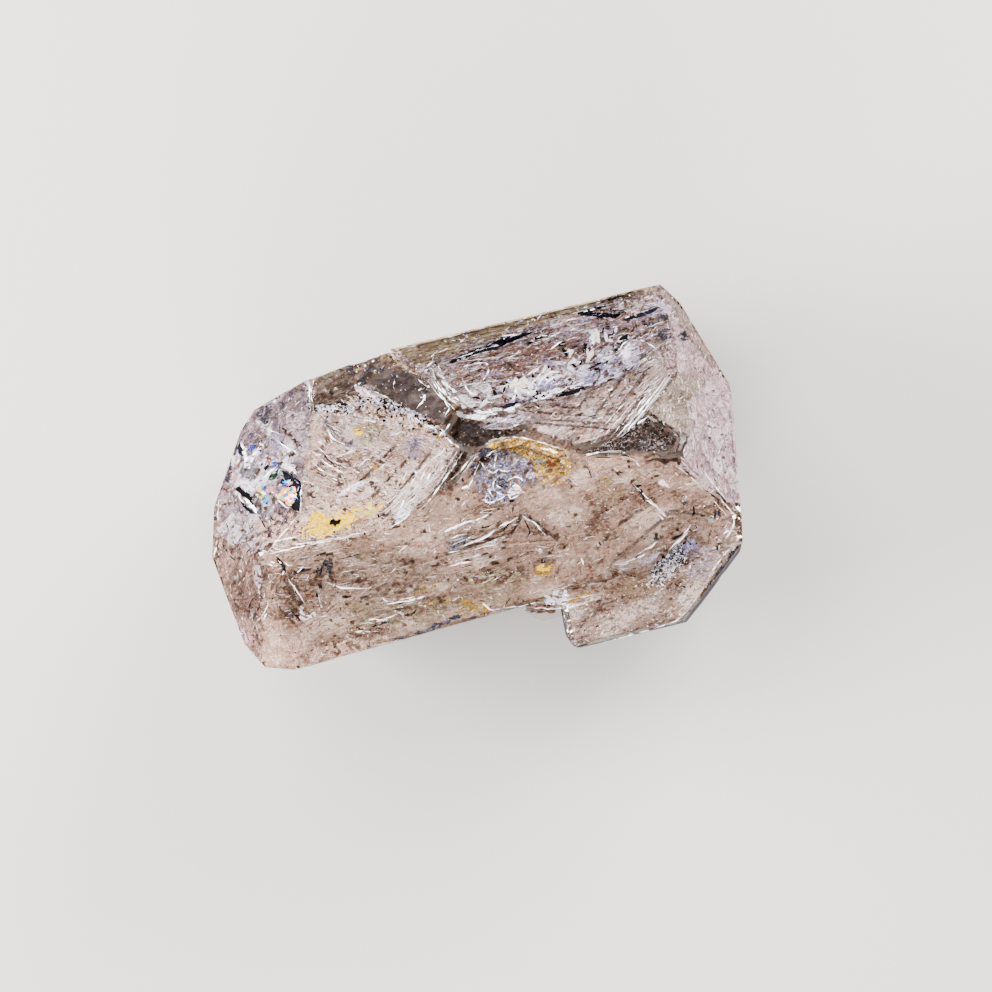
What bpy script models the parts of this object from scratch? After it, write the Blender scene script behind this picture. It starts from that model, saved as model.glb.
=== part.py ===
"""A skeletal quartz crystal, about 47 mm long, lying on its flattest face.

The frame is metres with +Z up. +X runs along the crystal's own long axis, so the
faces of its hexagonal prism are parallel to X and its blunt terminations are at
the two ends. The crystal lies with one prism edge on top and rests on a broad flat
face underneath. The origin is at the middle of the base of its bounding box.

The body is cut from a block by its crystal faces, the way a crystal is bounded. A
shorter crystal grown beside it is cut in the same way and joined on. Then the
hoppers, notches, growth lines and etch pits are cut into the faces.
"""

import math

import bmesh
import bpy
from mathutils import Matrix, Vector

MM = 0.001

# Driving dimensions, in millimetres, measured along the crystal's own axes.
BLOCK_SIDE = 80.0
THICKNESS = 17.4
EDGE_Y = -2.4
SIDE_Y = 11.95
LOWER_SIDE_Y = -12.2
BASE_EDGE_HEIGHT = 3.4
TWIN_SIDE_Y = -16.85
TWIN_LEFT_X = 4.1
TWIN_ROOT_Y = -7.5
TWIN_STEP = 0.45
TWIN_END_DISTANCE = 22.0
ORIGIN_SHIFT_X = 0.663
ORIGIN_SHIFT_Y = 2.45

# Angles of quartz, in degrees. A prism face is 30 from level when an edge is on top,
# and a rhombohedral face is 51.8 from the long axis.
PRISM_TILT = 30.0
RHOMB_FROM_AXIS = 51.8
RHOMB_TILT = 47.1
RHOMB_AZIMUTH = 32.5
LEVEL_BASE_TILT = 180.0

PRISM_SLOPE = math.tan(math.radians(PRISM_TILT))
TOP_EDGE = (0.0, EDGE_Y, THICKNESS)


def upper_face_height(y):
    """Height of the far prism face over a line at this Y."""
    return THICKNESS - (y - EDGE_Y) * PRISM_SLOPE


def near_face_height(y):
    """Height of the near prism face over a line at this Y."""
    return THICKNESS - (EDGE_Y - y) * PRISM_SLOPE


def on_outline(azimuth, distance, height=0.0):
    """A point at this distance from the origin, straight out along an azimuth."""
    angle = math.radians(azimuth)
    return (distance * math.cos(angle), distance * math.sin(angle), height)


# Each face: its azimuth in plan, its tilt from facing straight up, and a point on it.
MAIN_PRISM_FACES = [
    (90.0, PRISM_TILT, TOP_EDGE),
    (-90.0, PRISM_TILT, TOP_EDGE),
    (90.0, 90.0, (0.0, SIDE_Y, 0.0)),
    (97.5, 90.0, on_outline(97.5, 12.55)),
    (105.5, 90.0, on_outline(105.5, 13.95)),
    (-88.0, 88.0, (0.0, LOWER_SIDE_Y, 4.0)),
    (90.0, 180.0 - PRISM_TILT, (0.0, SIDE_Y, BASE_EDGE_HEIGHT)),
    (-90.0, 180.0 - PRISM_TILT, (0.0, LOWER_SIDE_Y, BASE_EDGE_HEIGHT)),
    (0.0, LEVEL_BASE_TILT, (0.0, 0.0, 0.0)),
]
RIGHT_END_FACES = [
    (RHOMB_AZIMUTH, RHOMB_TILT, (17.8, 5.0, upper_face_height(5.0))),
    (0.0, 42.4, (16.35, EDGE_Y, THICKNESS)),
    (33.0, 90.0, on_outline(33.0, 22.4)),
    (17.0, 89.0, on_outline(17.0, 22.25, 8.0)),
    (-9.5, 90.0, on_outline(-9.5, 21.9)),
    (-RHOMB_FROM_AXIS, 90.0, on_outline(-RHOMB_FROM_AXIS, 21.2)),
    (8.0, 128.0, on_outline(0.0, 21.8, 4.6)),
    (60.0, 126.0, on_outline(60.0, 19.0, 3.0)),
]
LEFT_END_FACES = [
    (180.0 - RHOMB_AZIMUTH, RHOMB_TILT, (-15.0, 5.0, upper_face_height(5.0))),
    (180.0 + RHOMB_AZIMUTH, RHOMB_TILT, (-19.3, -6.0, near_face_height(-6.0))),
    (133.0, 88.5, on_outline(133.0, 18.95, 7.0)),
    (147.0, 90.0, on_outline(147.0, 20.35)),
    (165.0, 89.0, on_outline(165.0, 22.55, 7.0)),
    (-173.0, 87.0, on_outline(-173.0, 24.0, 5.0)),
    (-152.0, 88.0, on_outline(-152.0, 24.75, 5.0)),
    (-128.0, 90.0, on_outline(-128.0, 22.95)),
    (-107.0, 90.0, on_outline(-107.0, 17.65)),
    (174.0, 131.0, on_outline(180.0, 22.8, 4.2)),
    (-140.0, 124.0, on_outline(-140.0, 22.0, 3.4)),
]
TWIN_FACES = [
    (-90.0, PRISM_TILT, (0.0, EDGE_Y, THICKNESS - TWIN_STEP)),
    (90.0, 90.0, (0.0, TWIN_ROOT_Y, 0.0)),
    (-90.0, 86.5, (0.0, TWIN_SIDE_Y, 3.6)),
    (-RHOMB_FROM_AXIS, 84.0, on_outline(-RHOMB_FROM_AXIS, 22.15, 4.0)),
    (-9.5, 89.0, on_outline(-9.5, TWIN_END_DISTANCE, 5.0)),
    (178.0, 89.0, (TWIN_LEFT_X, -15.0, 5.0)),
    (-158.0, 89.0, (TWIN_LEFT_X, -15.6, 5.0)),
    (-135.0, 89.0, (TWIN_LEFT_X + 0.33, -16.42, 5.0)),
    (-112.0, 89.0, (TWIN_LEFT_X + 0.8, -16.74, 5.0)),
    (-90.0, 180.0 - PRISM_TILT, (0.0, TWIN_SIDE_Y, 3.6)),
    (-20.0, 128.0, on_outline(-20.0, 22.0, 4.6)),
    (180.0, 140.0, (TWIN_LEFT_X, -14.0, 3.2)),
    (0.0, LEVEL_BASE_TILT, (0.0, 0.0, 1.2)),
]

# Outlines in plan, as (X, Y) corners.
WINDOW = [
    (-4.4, 11.15),
    (16.9, 11.15),
    (17.2, 5.0),
    (12.2, 0.8),
    (5.4, 3.1),
    (0.7, 4.9),
    (0.0, 6.3),
]
WINDOW_STEPS = [(1.0, 0.45), (0.87, 0.9), (0.7, 1.3), (0.5, 1.65)]
SMOKY_FACE = [
    (-5.35, 12.6),
    (-0.56, 6.0),
    (-1.1, 4.5),
    (-1.9, 3.9),
    (-2.9, 5.1),
    (-3.7, 5.0),
    (-4.4, 6.3),
    (-5.5, 6.9),
    (-6.6, 8.5),
    (-8.4, 9.7),
    (-9.6, 8.9),
    (-12.3, 8.3),
    (-11.9, 12.6),
]
CENTRE_RECESS = [
    (-0.6, 1.9),
    (4.9, 2.3),
    (8.9, -0.5),
    (9.6, -2.9),
    (5.4, -4.9),
    (2.9, -3.7),
    (-2.3, -3.9),
    (-7.6, -2.9),
    (-6.3, -1.5),
    (-3.1, 0.7),
]
CENTRE_STEPS = [(1.0, 0.35), (0.74, 0.75)]
DEEP_CENTRE = [
    (-0.55, 4.94),
    (-1.74, 3.66),
    (-0.55, 2.06),
    (0.77, 2.0),
    (4.95, 2.3),
    (3.4, 3.3),
    (0.5, 4.4),
]
CENTRE_SLOT = [(-0.95, 2.4), (-2.0, 0.9), (-3.1, -0.6), (-2.2, -0.4), (-0.7, 1.2), (0.3, 2.1)]
RIGHT_NOTCH = [
    (14.94, 1.02),
    (17.1, -1.25),
    (16.4, -2.3),
    (13.2, -1.5),
    (8.9, -0.55),
    (12.2, 0.1),
]
TRIANGLE_STEP = [(2.86, -4.45), (5.2, -7.4), (0.9, -6.6)]
LOWER_LEDGE = [(9.0, -10.4), (15.2, -7.1), (17.9, -8.4), (16.6, -11.4), (11.0, -11.9)]
LEFT_TERRACE = [(-13.4, -3.9), (-18.2, -3.6), (-18.9, -6.2), (-17.2, -9.6), (-14.2, -8.3)]
LEFT_TERRACE_STEPS = [(1.0, 0.35), (0.62, 0.7)]
SMALL_TIP = [(0.5, -11.8), (2.21, -13.6), (4.6, -13.62), (4.8, -11.5)]
SMALL_TIP_HEIGHTS = (4.4, 9.6)

# Growth lines as V grooves: start and end in plan, width and depth.
WINDOW_GROOVES = [
    ((2.2, 9.9), (10.6, 10.5), 0.5, 1.0),
    ((-1.2, 9.1), (8.9, 10.0), 0.6, 1.15),
    ((1.4, 8.2), (12.6, 9.2), 0.32, 1.45),
    ((3.0, 6.9), (15.4, 8.0), 0.42, 1.7),
    ((4.6, 5.9), (13.4, 6.9), 0.3, 1.95),
    ((5.2, 4.6), (11.4, 5.2), 0.45, 1.75),
    ((7.0, 3.6), (13.2, 4.1), 0.3, 1.4),
    ((9.4, 10.4), (16.2, 10.7), 0.4, 0.85),
]
STACK_GROOVES = [
    ((12.6, 1.5), (17.0, 5.4), 0.28, 0.75),
    ((11.9, 1.9), (16.6, 6.1), 0.28, 1.0),
    ((11.0, 2.2), (16.0, 6.6), 0.28, 1.3),
    ((13.2, 0.9), (17.9, 4.9), 0.22, 0.35),
]
FRAME_GROOVES = [
    ((-8.9, -1.3), (-2.9, 3.3), 0.35, 0.3),
    ((-10.2, -0.4), (-3.8, 3.9), 0.3, 0.25),
    ((-11.4, 0.8), (-5.3, 4.7), 0.3, 0.3),
    ((-11.6, 7.5), (-9.9, 4.7), 0.9, 0.5),
]
NEAR_GROOVES = [
    ((-4.4, -5.6), (1.8, -5.0), 0.3, 0.28),
    ((-5.2, -6.5), (2.3, -5.9), 0.36, 0.34),
    ((-3.6, -7.4), (2.9, -6.9), 0.26, 0.26),
    ((-2.4, -8.4), (3.6, -7.8), 0.3, 0.24),
    ((-13.2, -8.2), (-5.6, -8.9), 0.3, 0.26),
    ((-12.0, -9.8), (-3.0, -10.5), 0.34, 0.3),
    ((8.4, -6.4), (13.6, -4.6), 0.26, 0.24),
    ((9.9, -7.6), (14.4, -6.0), 0.28, 0.26),
]
GROOVE_ENDS_TAPER = 0.25

# Etch pits: centre in plan, on the near or far prism face, radius and depth.
ETCH_PITS = [
    ((-17.2, -4.7), 0.9, 0.5),
    ((-14.9, -6.1), 1.1, 0.55),
    ((-11.6, -10.9), 0.8, 0.4),
    ((13.6, -13.2), 0.9, 0.45),
    ((16.4, -11.2), 0.75, 0.4),
    ((-19.0, 1.4), 1.0, 0.5),
    ((-17.0, 6.2), 0.8, 0.45),
    ((19.6, 3.4), 0.8, 0.35),
    ((-9.0, 3.2), 0.7, 0.3),
]
PIT_SIDES = 9

# Framed hollows on the upright sides and underneath: centre, half sizes, depth.
SIDE_HOPPERS = [
    ((3.0, SIDE_Y, 6.3), (11.5, 2.3), 0.5, 90.0),
    ((-8.6, LOWER_SIDE_Y - 0.1, 7.6), (8.2, 2.9), 0.55, -90.0),
]
SIDE_HOPPER_STEPS = [(1.0, 1.0), (0.72, 1.9)]
BASE_HOPPER = [(-13.0, -3.4), (10.5, -3.4), (12.8, 2.4), (-15.2, 2.4)]
BASE_HOPPER_STEPS = [(1.0, 0.5), (0.7, 1.0)]

CRYSTAL_COLOUR = (0.60, 0.53, 0.50, 1.0)
CRYSTAL_ROUGHNESS = 0.08
QUARTZ_IOR = 1.544


def clear_scene():
    for thing in list(bpy.data.objects):
        bpy.data.objects.remove(thing, do_unlink=True)
    for collection in list(bpy.data.collections):
        bpy.data.collections.remove(collection)


def new_collection(name):
    collection = bpy.data.collections.new(name)
    bpy.context.scene.collection.children.link(collection)
    return collection


def quartz_material():
    """Clear, faintly pinkish grey quartz with a glassy lustre."""
    material = bpy.data.materials.new("clear_quartz")
    material.use_nodes = True
    shader = material.node_tree.nodes["Principled BSDF"]
    shader.inputs["Base Color"].default_value = CRYSTAL_COLOUR
    shader.inputs["Roughness"].default_value = CRYSTAL_ROUGHNESS
    shader.inputs["Metallic"].default_value = 0.0
    shader.inputs["IOR"].default_value = QUARTZ_IOR
    return material


def face_normal(azimuth, tilt):
    """Unit normal of a crystal face."""
    turn = math.radians(azimuth)
    lean = math.radians(tilt)
    return Vector(
        (math.sin(lean) * math.cos(turn), math.sin(lean) * math.sin(turn), math.cos(lean))
    )


def cut_outside(shape, point, normal):
    """Cuts away what lies beyond a plane and closes the cut."""
    everything = shape.verts[:] + shape.edges[:] + shape.faces[:]
    cut = bmesh.ops.bisect_plane(
        shape,
        geom=everything,
        dist=1e-7,
        plane_co=Vector(point) * MM,
        plane_no=normal,
        clear_outer=True,
        clear_inner=False,
    )
    rim = [part for part in cut["geom_cut"] if isinstance(part, bmesh.types.BMEdge)]
    if rim:
        bmesh.ops.contextual_create(shape, geom=rim)


def object_from(shape, name, collection):
    """Turns a bmesh into an object in a collection."""
    bmesh.ops.recalc_face_normals(shape, faces=shape.faces[:])
    if shape.calc_volume(signed=True) < 0:
        bmesh.ops.reverse_faces(shape, faces=shape.faces[:])
    mesh = bpy.data.meshes.new(name)
    shape.to_mesh(mesh)
    shape.free()
    thing = bpy.data.objects.new(name, mesh)
    collection.objects.link(thing)
    return thing


def body_from_faces(name, faces, collection):
    """A block cut down to the space that all of its crystal faces bound."""
    shape = bmesh.new()
    bmesh.ops.create_cube(shape, size=BLOCK_SIDE * MM)
    for azimuth, tilt, point in faces:
        cut_outside(shape, point, face_normal(azimuth, tilt))
    bmesh.ops.remove_doubles(shape, verts=shape.verts[:], dist=1e-7)
    return object_from(shape, name, collection)


def make_cutter(thing):
    """Keeps a cutter out of the render and shows it as wire."""
    thing.hide_render = True
    thing.display_type = "WIRE"
    return thing


def prism_from_outline(outline, bottom, top):
    """A closed upright prism as a bmesh, from a flat outline drawn in plan."""
    curve = bpy.data.curves.new("outline", "CURVE")
    curve.dimensions = "2D"
    curve.fill_mode = "BOTH"
    curve.extrude = (top - bottom) / 2 * MM
    spline = curve.splines.new("POLY")
    spline.points.add(len(outline) - 1)
    for point, (x, y) in zip(spline.points, outline):
        point.co = (x * MM, y * MM, 0.0, 1.0)
    spline.use_cyclic_u = True
    guide = bpy.data.objects.new("outline", curve)
    bpy.context.scene.collection.objects.link(guide)
    bpy.context.view_layer.update()
    evaluated = guide.evaluated_get(bpy.context.evaluated_depsgraph_get())
    mesh = bpy.data.meshes.new_from_object(evaluated)
    shape = bmesh.new()
    shape.from_mesh(mesh)
    bmesh.ops.remove_doubles(shape, verts=shape.verts[:], dist=1e-7)
    bmesh.ops.translate(
        shape, verts=shape.verts[:], vec=(0.0, 0.0, (top + bottom) / 2 * MM)
    )
    bpy.data.objects.remove(guide, do_unlink=True)
    bpy.data.curves.remove(curve)
    bpy.data.meshes.remove(mesh)
    return shape


def scaled_outline(outline, factor):
    """The outline drawn in towards its middle."""
    middle_x = sum(x for x, y in outline) / len(outline)
    middle_y = sum(y for x, y in outline) / len(outline)
    return [
        (middle_x + (x - middle_x) * factor, middle_y + (y - middle_y) * factor)
        for x, y in outline
    ]


def recess(name, outline, normal, face_point, depth, cutters, lean=None):
    """A cutter with this outline in plan and its floor at a depth under a face."""
    shape = prism_from_outline(outline, -5.0, THICKNESS + 5.0)
    floor_normal = lean or normal
    floor_point = Vector(face_point) - normal * depth
    cut_outside(shape, floor_point, -floor_normal)
    return make_cutter(object_from(shape, name, cutters))


def stepped_recess(name, outline, steps, normal, face_point, cutters):
    """A hopper: nested recesses whose floors step down towards the middle."""
    return [
        recess(f"{name}_{i}", scaled_outline(outline, factor), normal, face_point, depth, cutters)
        for i, (factor, depth) in enumerate(steps)
    ]


def groove(name, start, end, width, depth, normal, cutters):
    """A V groove between two points in plan, tapered to nothing at both ends."""
    near_point = Vector((start[0], start[1], face_height(start[1])))
    far_point = Vector((end[0], end[1], face_height(end[1])))
    along = (far_point - near_point).normalized()
    across = normal.cross(along).normalized()
    middle = (near_point + far_point) / 2
    length = (far_point - near_point).length
    rise = 1.5
    shape = bmesh.new()
    bmesh.ops.create_cone(
        shape,
        cap_ends=True,
        segments=4,
        radius1=1.0,
        radius2=1.0,
        depth=1.0,
        matrix=Matrix.Rotation(math.radians(45.0), 4, "Z"),
    )
    half_width = width * (depth + rise) / (2 * max(depth, 0.25))
    place = Matrix(
        (
            (along.x, across.x, normal.x, middle.x),
            (along.y, across.y, normal.y, middle.y),
            (along.z, across.z, normal.z, middle.z),
            (0.0, 0.0, 0.0, 1.0),
        )
    )
    for corner in shape.verts:
        at_end = corner.co.z
        side = 1.0 if corner.co.x > 0 else -1.0
        low = corner.co.y < 0
        reach = length * (1.0 - GROOVE_ENDS_TAPER * low)
        corner.co = (
            place
            @ Vector(
                (
                    at_end * reach,
                    side * (half_width if not low else width * 0.06),
                    -depth if low else rise,
                )
            )
            * MM
        )
    return make_cutter(object_from(shape, name, cutters))


def face_height(y):
    """Height of whichever prism face is over a line at this Y."""
    return upper_face_height(y) if y > EDGE_Y else near_face_height(y)


def pit(name, centre, radius, depth, cutters):
    """A shallow faceted etch pit, point down, under a prism face."""
    normal = face_normal(90.0 if centre[1] > EDGE_Y else -90.0, PRISM_TILT)
    place = normal.to_track_quat("Z", "Y").to_matrix().to_4x4()
    place.translation = Vector((centre[0], centre[1], face_height(centre[1]))) * MM
    shape = bmesh.new()
    bmesh.ops.create_cone(
        shape,
        cap_ends=True,
        segments=PIT_SIDES,
        radius1=radius * 0.35 * MM,
        radius2=radius * 1.65 * MM,
        depth=2 * depth * MM,
        matrix=place,
    )
    return make_cutter(object_from(shape, name, cutters))


def side_hopper(name, centre, half_sizes, depth, azimuth, cutters):
    """A framed hollow in an upright side, as nested flat-bottomed blocks."""
    made = []
    outward = face_normal(azimuth, 90.0)
    for i, (factor, deeper) in enumerate(SIDE_HOPPER_STEPS):
        shape = bmesh.new()
        bmesh.ops.create_cube(shape, size=2.0)
        for corner in shape.verts:
            corner.co = Vector(
                (
                    centre[0] + corner.co.x * half_sizes[0] * factor,
                    centre[1] + corner.co.y * depth * deeper,
                    centre[2] + corner.co.z * half_sizes[1] * factor,
                )
            ) * MM
        for corner in shape.verts:
            if corner.co.xyz.dot(outward) > Vector(centre).dot(outward) * MM:
                corner.co += outward * MM
        made.append(make_cutter(object_from(shape, f"{name}_{i}", cutters)))
    return made


def base_hopper(cutters):
    """The hollow underneath, inside the rim that the crystal rests on."""
    made = []
    for i, (factor, depth) in enumerate(BASE_HOPPER_STEPS):
        shape = prism_from_outline(scaled_outline(BASE_HOPPER, factor), -2.0, depth)
        made.append(make_cutter(object_from(shape, f"base_hopper_{i}", cutters)))
    return made


def all_cutters(cutters):
    """Everything that is cut from the faces, in the order it is cut."""
    upper = face_normal(90.0, PRISM_TILT)
    near = face_normal(-90.0, PRISM_TILT)
    smoky_floor = face_normal(96.0, PRISM_TILT + 3.5)
    made = []
    made += stepped_recess("window", WINDOW, WINDOW_STEPS, upper, TOP_EDGE, cutters)
    made.append(
        recess("smoky_face", SMOKY_FACE, upper, (-3.5, 7.0, upper_face_height(7.0)), 0.4, cutters,
               lean=smoky_floor)
    )
    made += stepped_recess("centre", CENTRE_RECESS, CENTRE_STEPS, upper, TOP_EDGE, cutters)
    made.append(recess("deep_centre", DEEP_CENTRE, upper, TOP_EDGE, 2.6, cutters))
    made.append(recess("centre_slot", CENTRE_SLOT, upper, TOP_EDGE, 1.9, cutters))
    made.append(recess("right_notch", RIGHT_NOTCH, upper, TOP_EDGE, 2.2, cutters))
    made.append(recess("triangle_step", TRIANGLE_STEP, near, TOP_EDGE, 0.3, cutters))
    made.append(recess("lower_ledge", LOWER_LEDGE, near, TOP_EDGE, 0.8, cutters))
    made += stepped_recess(
        "left_terrace", LEFT_TERRACE, LEFT_TERRACE_STEPS, near, TOP_EDGE, cutters
    )
    for i, (start, end, width, depth) in enumerate(WINDOW_GROOVES + STACK_GROOVES + FRAME_GROOVES):
        made.append(groove(f"far_groove_{i}", start, end, width, depth, upper, cutters))
    for i, (start, end, width, depth) in enumerate(NEAR_GROOVES):
        made.append(groove(f"near_groove_{i}", start, end, width, depth, near, cutters))
    for i, (centre, radius, depth) in enumerate(ETCH_PITS):
        made.append(pit(f"etch_pit_{i}", centre, radius, depth, cutters))
    for i, (centre, half_sizes, depth, azimuth) in enumerate(SIDE_HOPPERS):
        made += side_hopper(f"side_hopper_{i}", centre, half_sizes, depth, azimuth, cutters)
    made += base_hopper(cutters)
    return made


def add_boolean(thing, other, operation):
    modifier = thing.modifiers.new(f"{operation.lower()}_{other.name}", "BOOLEAN")
    modifier.operation = operation
    modifier.solver = "EXACT"
    modifier.object = other


def main():
    clear_scene()
    crystals = new_collection("skeletal_quartz_crystal")
    cutters = new_collection("cutters")
    crystal = body_from_faces(
        "quartz_crystal", MAIN_PRISM_FACES + RIGHT_END_FACES + LEFT_END_FACES, crystals
    )
    crystal.data.materials.append(quartz_material())
    twin = make_cutter(body_from_faces("side_crystal", TWIN_FACES, cutters))
    tip_shape = prism_from_outline(SMALL_TIP, *SMALL_TIP_HEIGHTS)
    tip = make_cutter(object_from(tip_shape, "small_tip", cutters))
    add_boolean(crystal, twin, "UNION")
    add_boolean(crystal, tip, "UNION")
    for cutter in all_cutters(cutters):
        add_boolean(crystal, cutter, "DIFFERENCE")
    frame = bpy.data.objects.new("crystal_frame", None)
    frame.location = (ORIGIN_SHIFT_X * MM, ORIGIN_SHIFT_Y * MM, 0.0)
    crystals.objects.link(frame)
    for thing in [crystal] + list(cutters.objects):
        thing.parent = frame
    bpy.context.view_layer.update()


if __name__ == "__main__":
    main()
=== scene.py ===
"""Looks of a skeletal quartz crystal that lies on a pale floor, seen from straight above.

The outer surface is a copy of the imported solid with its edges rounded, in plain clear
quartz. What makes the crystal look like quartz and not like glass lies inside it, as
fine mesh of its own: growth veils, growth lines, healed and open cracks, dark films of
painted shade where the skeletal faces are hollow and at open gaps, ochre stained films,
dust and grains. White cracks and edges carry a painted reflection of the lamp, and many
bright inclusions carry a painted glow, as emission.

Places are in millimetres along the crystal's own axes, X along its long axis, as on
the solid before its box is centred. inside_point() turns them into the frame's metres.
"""

import math
import random

import bmesh
import bpy
from mathutils import Matrix, Vector, noise
from mathutils.bvhtree import BVHTree


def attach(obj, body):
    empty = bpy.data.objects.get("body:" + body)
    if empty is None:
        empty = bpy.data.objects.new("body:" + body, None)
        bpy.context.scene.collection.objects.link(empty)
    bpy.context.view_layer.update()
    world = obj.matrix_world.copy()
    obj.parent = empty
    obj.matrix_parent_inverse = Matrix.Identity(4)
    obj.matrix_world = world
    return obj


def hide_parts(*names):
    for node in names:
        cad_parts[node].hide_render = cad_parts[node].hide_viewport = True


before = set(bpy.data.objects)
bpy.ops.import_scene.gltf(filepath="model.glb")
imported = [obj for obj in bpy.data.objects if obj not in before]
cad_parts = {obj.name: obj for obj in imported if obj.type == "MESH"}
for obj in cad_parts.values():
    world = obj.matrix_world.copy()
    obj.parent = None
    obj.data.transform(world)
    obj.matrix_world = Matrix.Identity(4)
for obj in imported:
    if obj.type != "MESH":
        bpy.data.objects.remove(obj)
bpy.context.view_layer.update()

bl_info = {
    "name": "Skeletal quartz crystal",
    "version": (1, 0, 0),
    "blender": (4, 5, 0),
    "location": "View3D > Sidebar > Quartz",
    "description": "Builds a clear skeletal quartz crystal with its growth lines, veils and stains",
    "category": "Add Mesh",
}

NODE = "quartz_crystal"
BODY = "root"

MM = 0.001
# From the middle of the solid's box to where the crystal's own axes cross.
ORIGIN_SHIFT = (0.663, 2.45)
LONG_AXIS_TURN = math.radians(13.6)

# The photograph: its side, its scale, and the pixels of the axes' crossing and its middle.
IMAGE_PIXELS = 992
MM_PER_PIXEL = 0.085
AXES_PIXEL = (478.0, 472.0)
IMAGE_CENTRE_PIXEL = (496.0, 496.0)
# Height over the floor at which the scale holds, and the width of the camera's sensor.
OUTLINE_HEIGHT = 10.5
SENSOR_WIDTH = 36.0

# Heights in metres, over and under the crystal, from which rays look for its surface.
ABOVE = 0.05
BELOW = -0.01
# Films and lines end where the surface over them rises more steeply than this.
STEEPEST = 2.5
# Least quartz between anything inside and the underside.
COVER = 0.2
# Real films are far thinner, and would vanish between the render's samples.
FILM_THICKNESS = 0.03
# Side of a film's faces. The deep veil is wide and is seen through the others.
COARSE_CELL = 0.24
FINE_CELL = 0.14
# Scraps of a film with fewer faces than this are left out, before and after the ledges.
LEAST_ISLAND = 12
LEAST_AFTER_LEDGES = 6
# Steps along a guide curve.
GUIDE_STEPS = 40
# Rates at which noise changes along a film's edge, a line's path and a plate's chipped
# edge, per millimetre, and along a line's thickness, per metre.
RAGGED_NOISE = 1.7
DRIFT_NOISE = 2.2
CHIP_NOISE = 3.0
SWELL_NOISE = 2200.0
# noise_vector() starts from the clock unless it is given a seed.
NOISE_SEED = 7
# Most specks are of one size.
SPECK_SIZES = (0.6, 0.8, 1.0, 1.0, 1.5)
FULL_DUST = 1500

# Outlines in plan, (X, Y) in millimetres. They reach past the crystal's edge and a little
# over each other, because films are cut off where the crystal ends.
WINDOW = [
    (-5.3, 12.2), (18.9, 12.2), (19.2, 7.0), (18.4, 4.2), (14.8, 1.1), (11.5, -0.5),
    (7.9, 0.5), (5.3, 2.2), (3.0, 3.1), (0.2, 4.4), (-0.6, 6.2), (-3.1, 9.5),
]
FRAME_FACE = [
    (-12.8, 8.4), (-8.5, 9.5), (-5.5, 7.0), (-3.6, 5.2), (-1.9, 3.9), (-0.8, 2.0),
    (-2.7, 0.1), (-5.9, -2.0), (-7.8, -2.8), (-18.6, -2.5), (-15.6, 0.4), (-15.0, 2.9),
]
LEFT_END = [
    (-20.4, 8.0), (-17.5, 10.4), (-15.2, 10.6), (-12.2, 11.2), (-12.4, 8.4), (-14.4, 2.9),
    (-15.0, 0.4), (-18.4, -2.2), (-19.8, -2.4), (-23.6, 0.2), (-22.6, 4.4),
]
LEFT_SIDE = [
    (-23.6, 0.6), (-19.6, -2.0), (-18.8, -4.8), (-20.0, -7.8), (-21.0, -10.2), (-21.6, -12.0),
    (-23.2, -11.4), (-24.2, -6.0), (-24.4, -2.8),
]
NEAR_FACE = [
    (-7.9, -2.8), (-2.8, -0.2), (-0.9, 1.3), (0.9, 1.6), (4.6, 0.2), (8.4, -0.5),
    (13.6, -2.2), (16.3, -3.0), (20.0, -8.3), (16.6, -12.0), (10.8, -13.6), (7.8, -12.9),
    (0.8, -12.6), (-3.9, -12.4), (-9.8, -12.6), (-15.1, -12.9), (-18.3, -13.1), (-21.9, -11.4),
    (-20.8, -7.8), (-19.6, -5.2), (-19.0, -2.3),
]
SIDE_CRYSTAL = [
    (7.6, -12.6), (10.8, -13.2), (16.5, -11.7), (19.7, -8.4), (21.0, -10.8), (17.8, -13.2),
    (14.0, -16.6), (9.2, -16.9), (6.7, -17.0), (5.0, -16.8), (4.2, -15.8), (4.0, -14.2),
    (4.2, -12.6),
]
RIGHT_END = [
    (18.3, 12.4), (19.4, 12.0), (21.2, 8.6), (23.4, 2.4), (22.6, -3.3), (21.0, -10.0),
    (19.9, -8.0), (16.6, -3.2), (17.2, -1.4), (15.2, 1.2), (18.0, 3.8), (18.6, 7.0),
]
SHADED_HOLLOW_FACE = [
    (-12.6, 9.0), (-12.0, 11.4), (-8.2, 12.0), (-5.4, 12.3), (-3.2, 9.6), (-0.8, 6.1),
    (-1.8, 4.4), (-3.4, 5.6), (-5.4, 7.5), (-7.4, 9.0), (-9.8, 8.7),
]
SHADED_HOLLOW_DARK = [
    (-7.3, 9.6), (-5.4, 10.4), (-3.4, 9.6), (-2.6, 8.2), (-0.8, 5.9), (-1.8, 4.5), (-3.4, 5.6),
    (-5.4, 7.4),
]
SHADED_HOLLOW_CORNER = [(-12.2, 8.8), (-11.2, 9.9), (-9.0, 9.5), (-7.4, 9.0), (-8.6, 8.3), (-11.0, 8.2)]
BUTTERFLY = [
    (-0.6, 4.9), (-1.7, 3.7), (-0.6, 2.1), (0.8, 2.0), (2.0, 2.3), (5.2, 2.4), (2.7, 3.0),
    (0.8, 3.9), (0.2, 4.5),
]
SLOTS = [
    [(-1.0, 2.1), (-0.4, 1.3), (-2.3, -0.1), (-3.0, -0.8), (-3.4, -0.3)],
    [(0.8, 1.3), (1.3, 0.6), (-0.8, -0.4), (-1.5, -0.8)],
]
RIGHT_NOTCH = [
    (14.9, 1.1), (17.2, -1.3), (16.4, -2.5), (15.0, -2.0), (13.0, -1.3), (10.5, -0.9),
    (8.9, -0.5), (11.3, -0.4), (12.9, 0.1),
]
CENTRE_PATCH = [
    (-0.5, 1.2), (0.9, 1.7), (2.3, 1.4), (3.5, 0.9), (4.6, 0.1), (4.7, -1.6), (3.4, -2.5),
    (2.0, -3.2), (0.4, -3.0), (-0.4, -2.2), (-0.6, -0.9),
]
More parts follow.
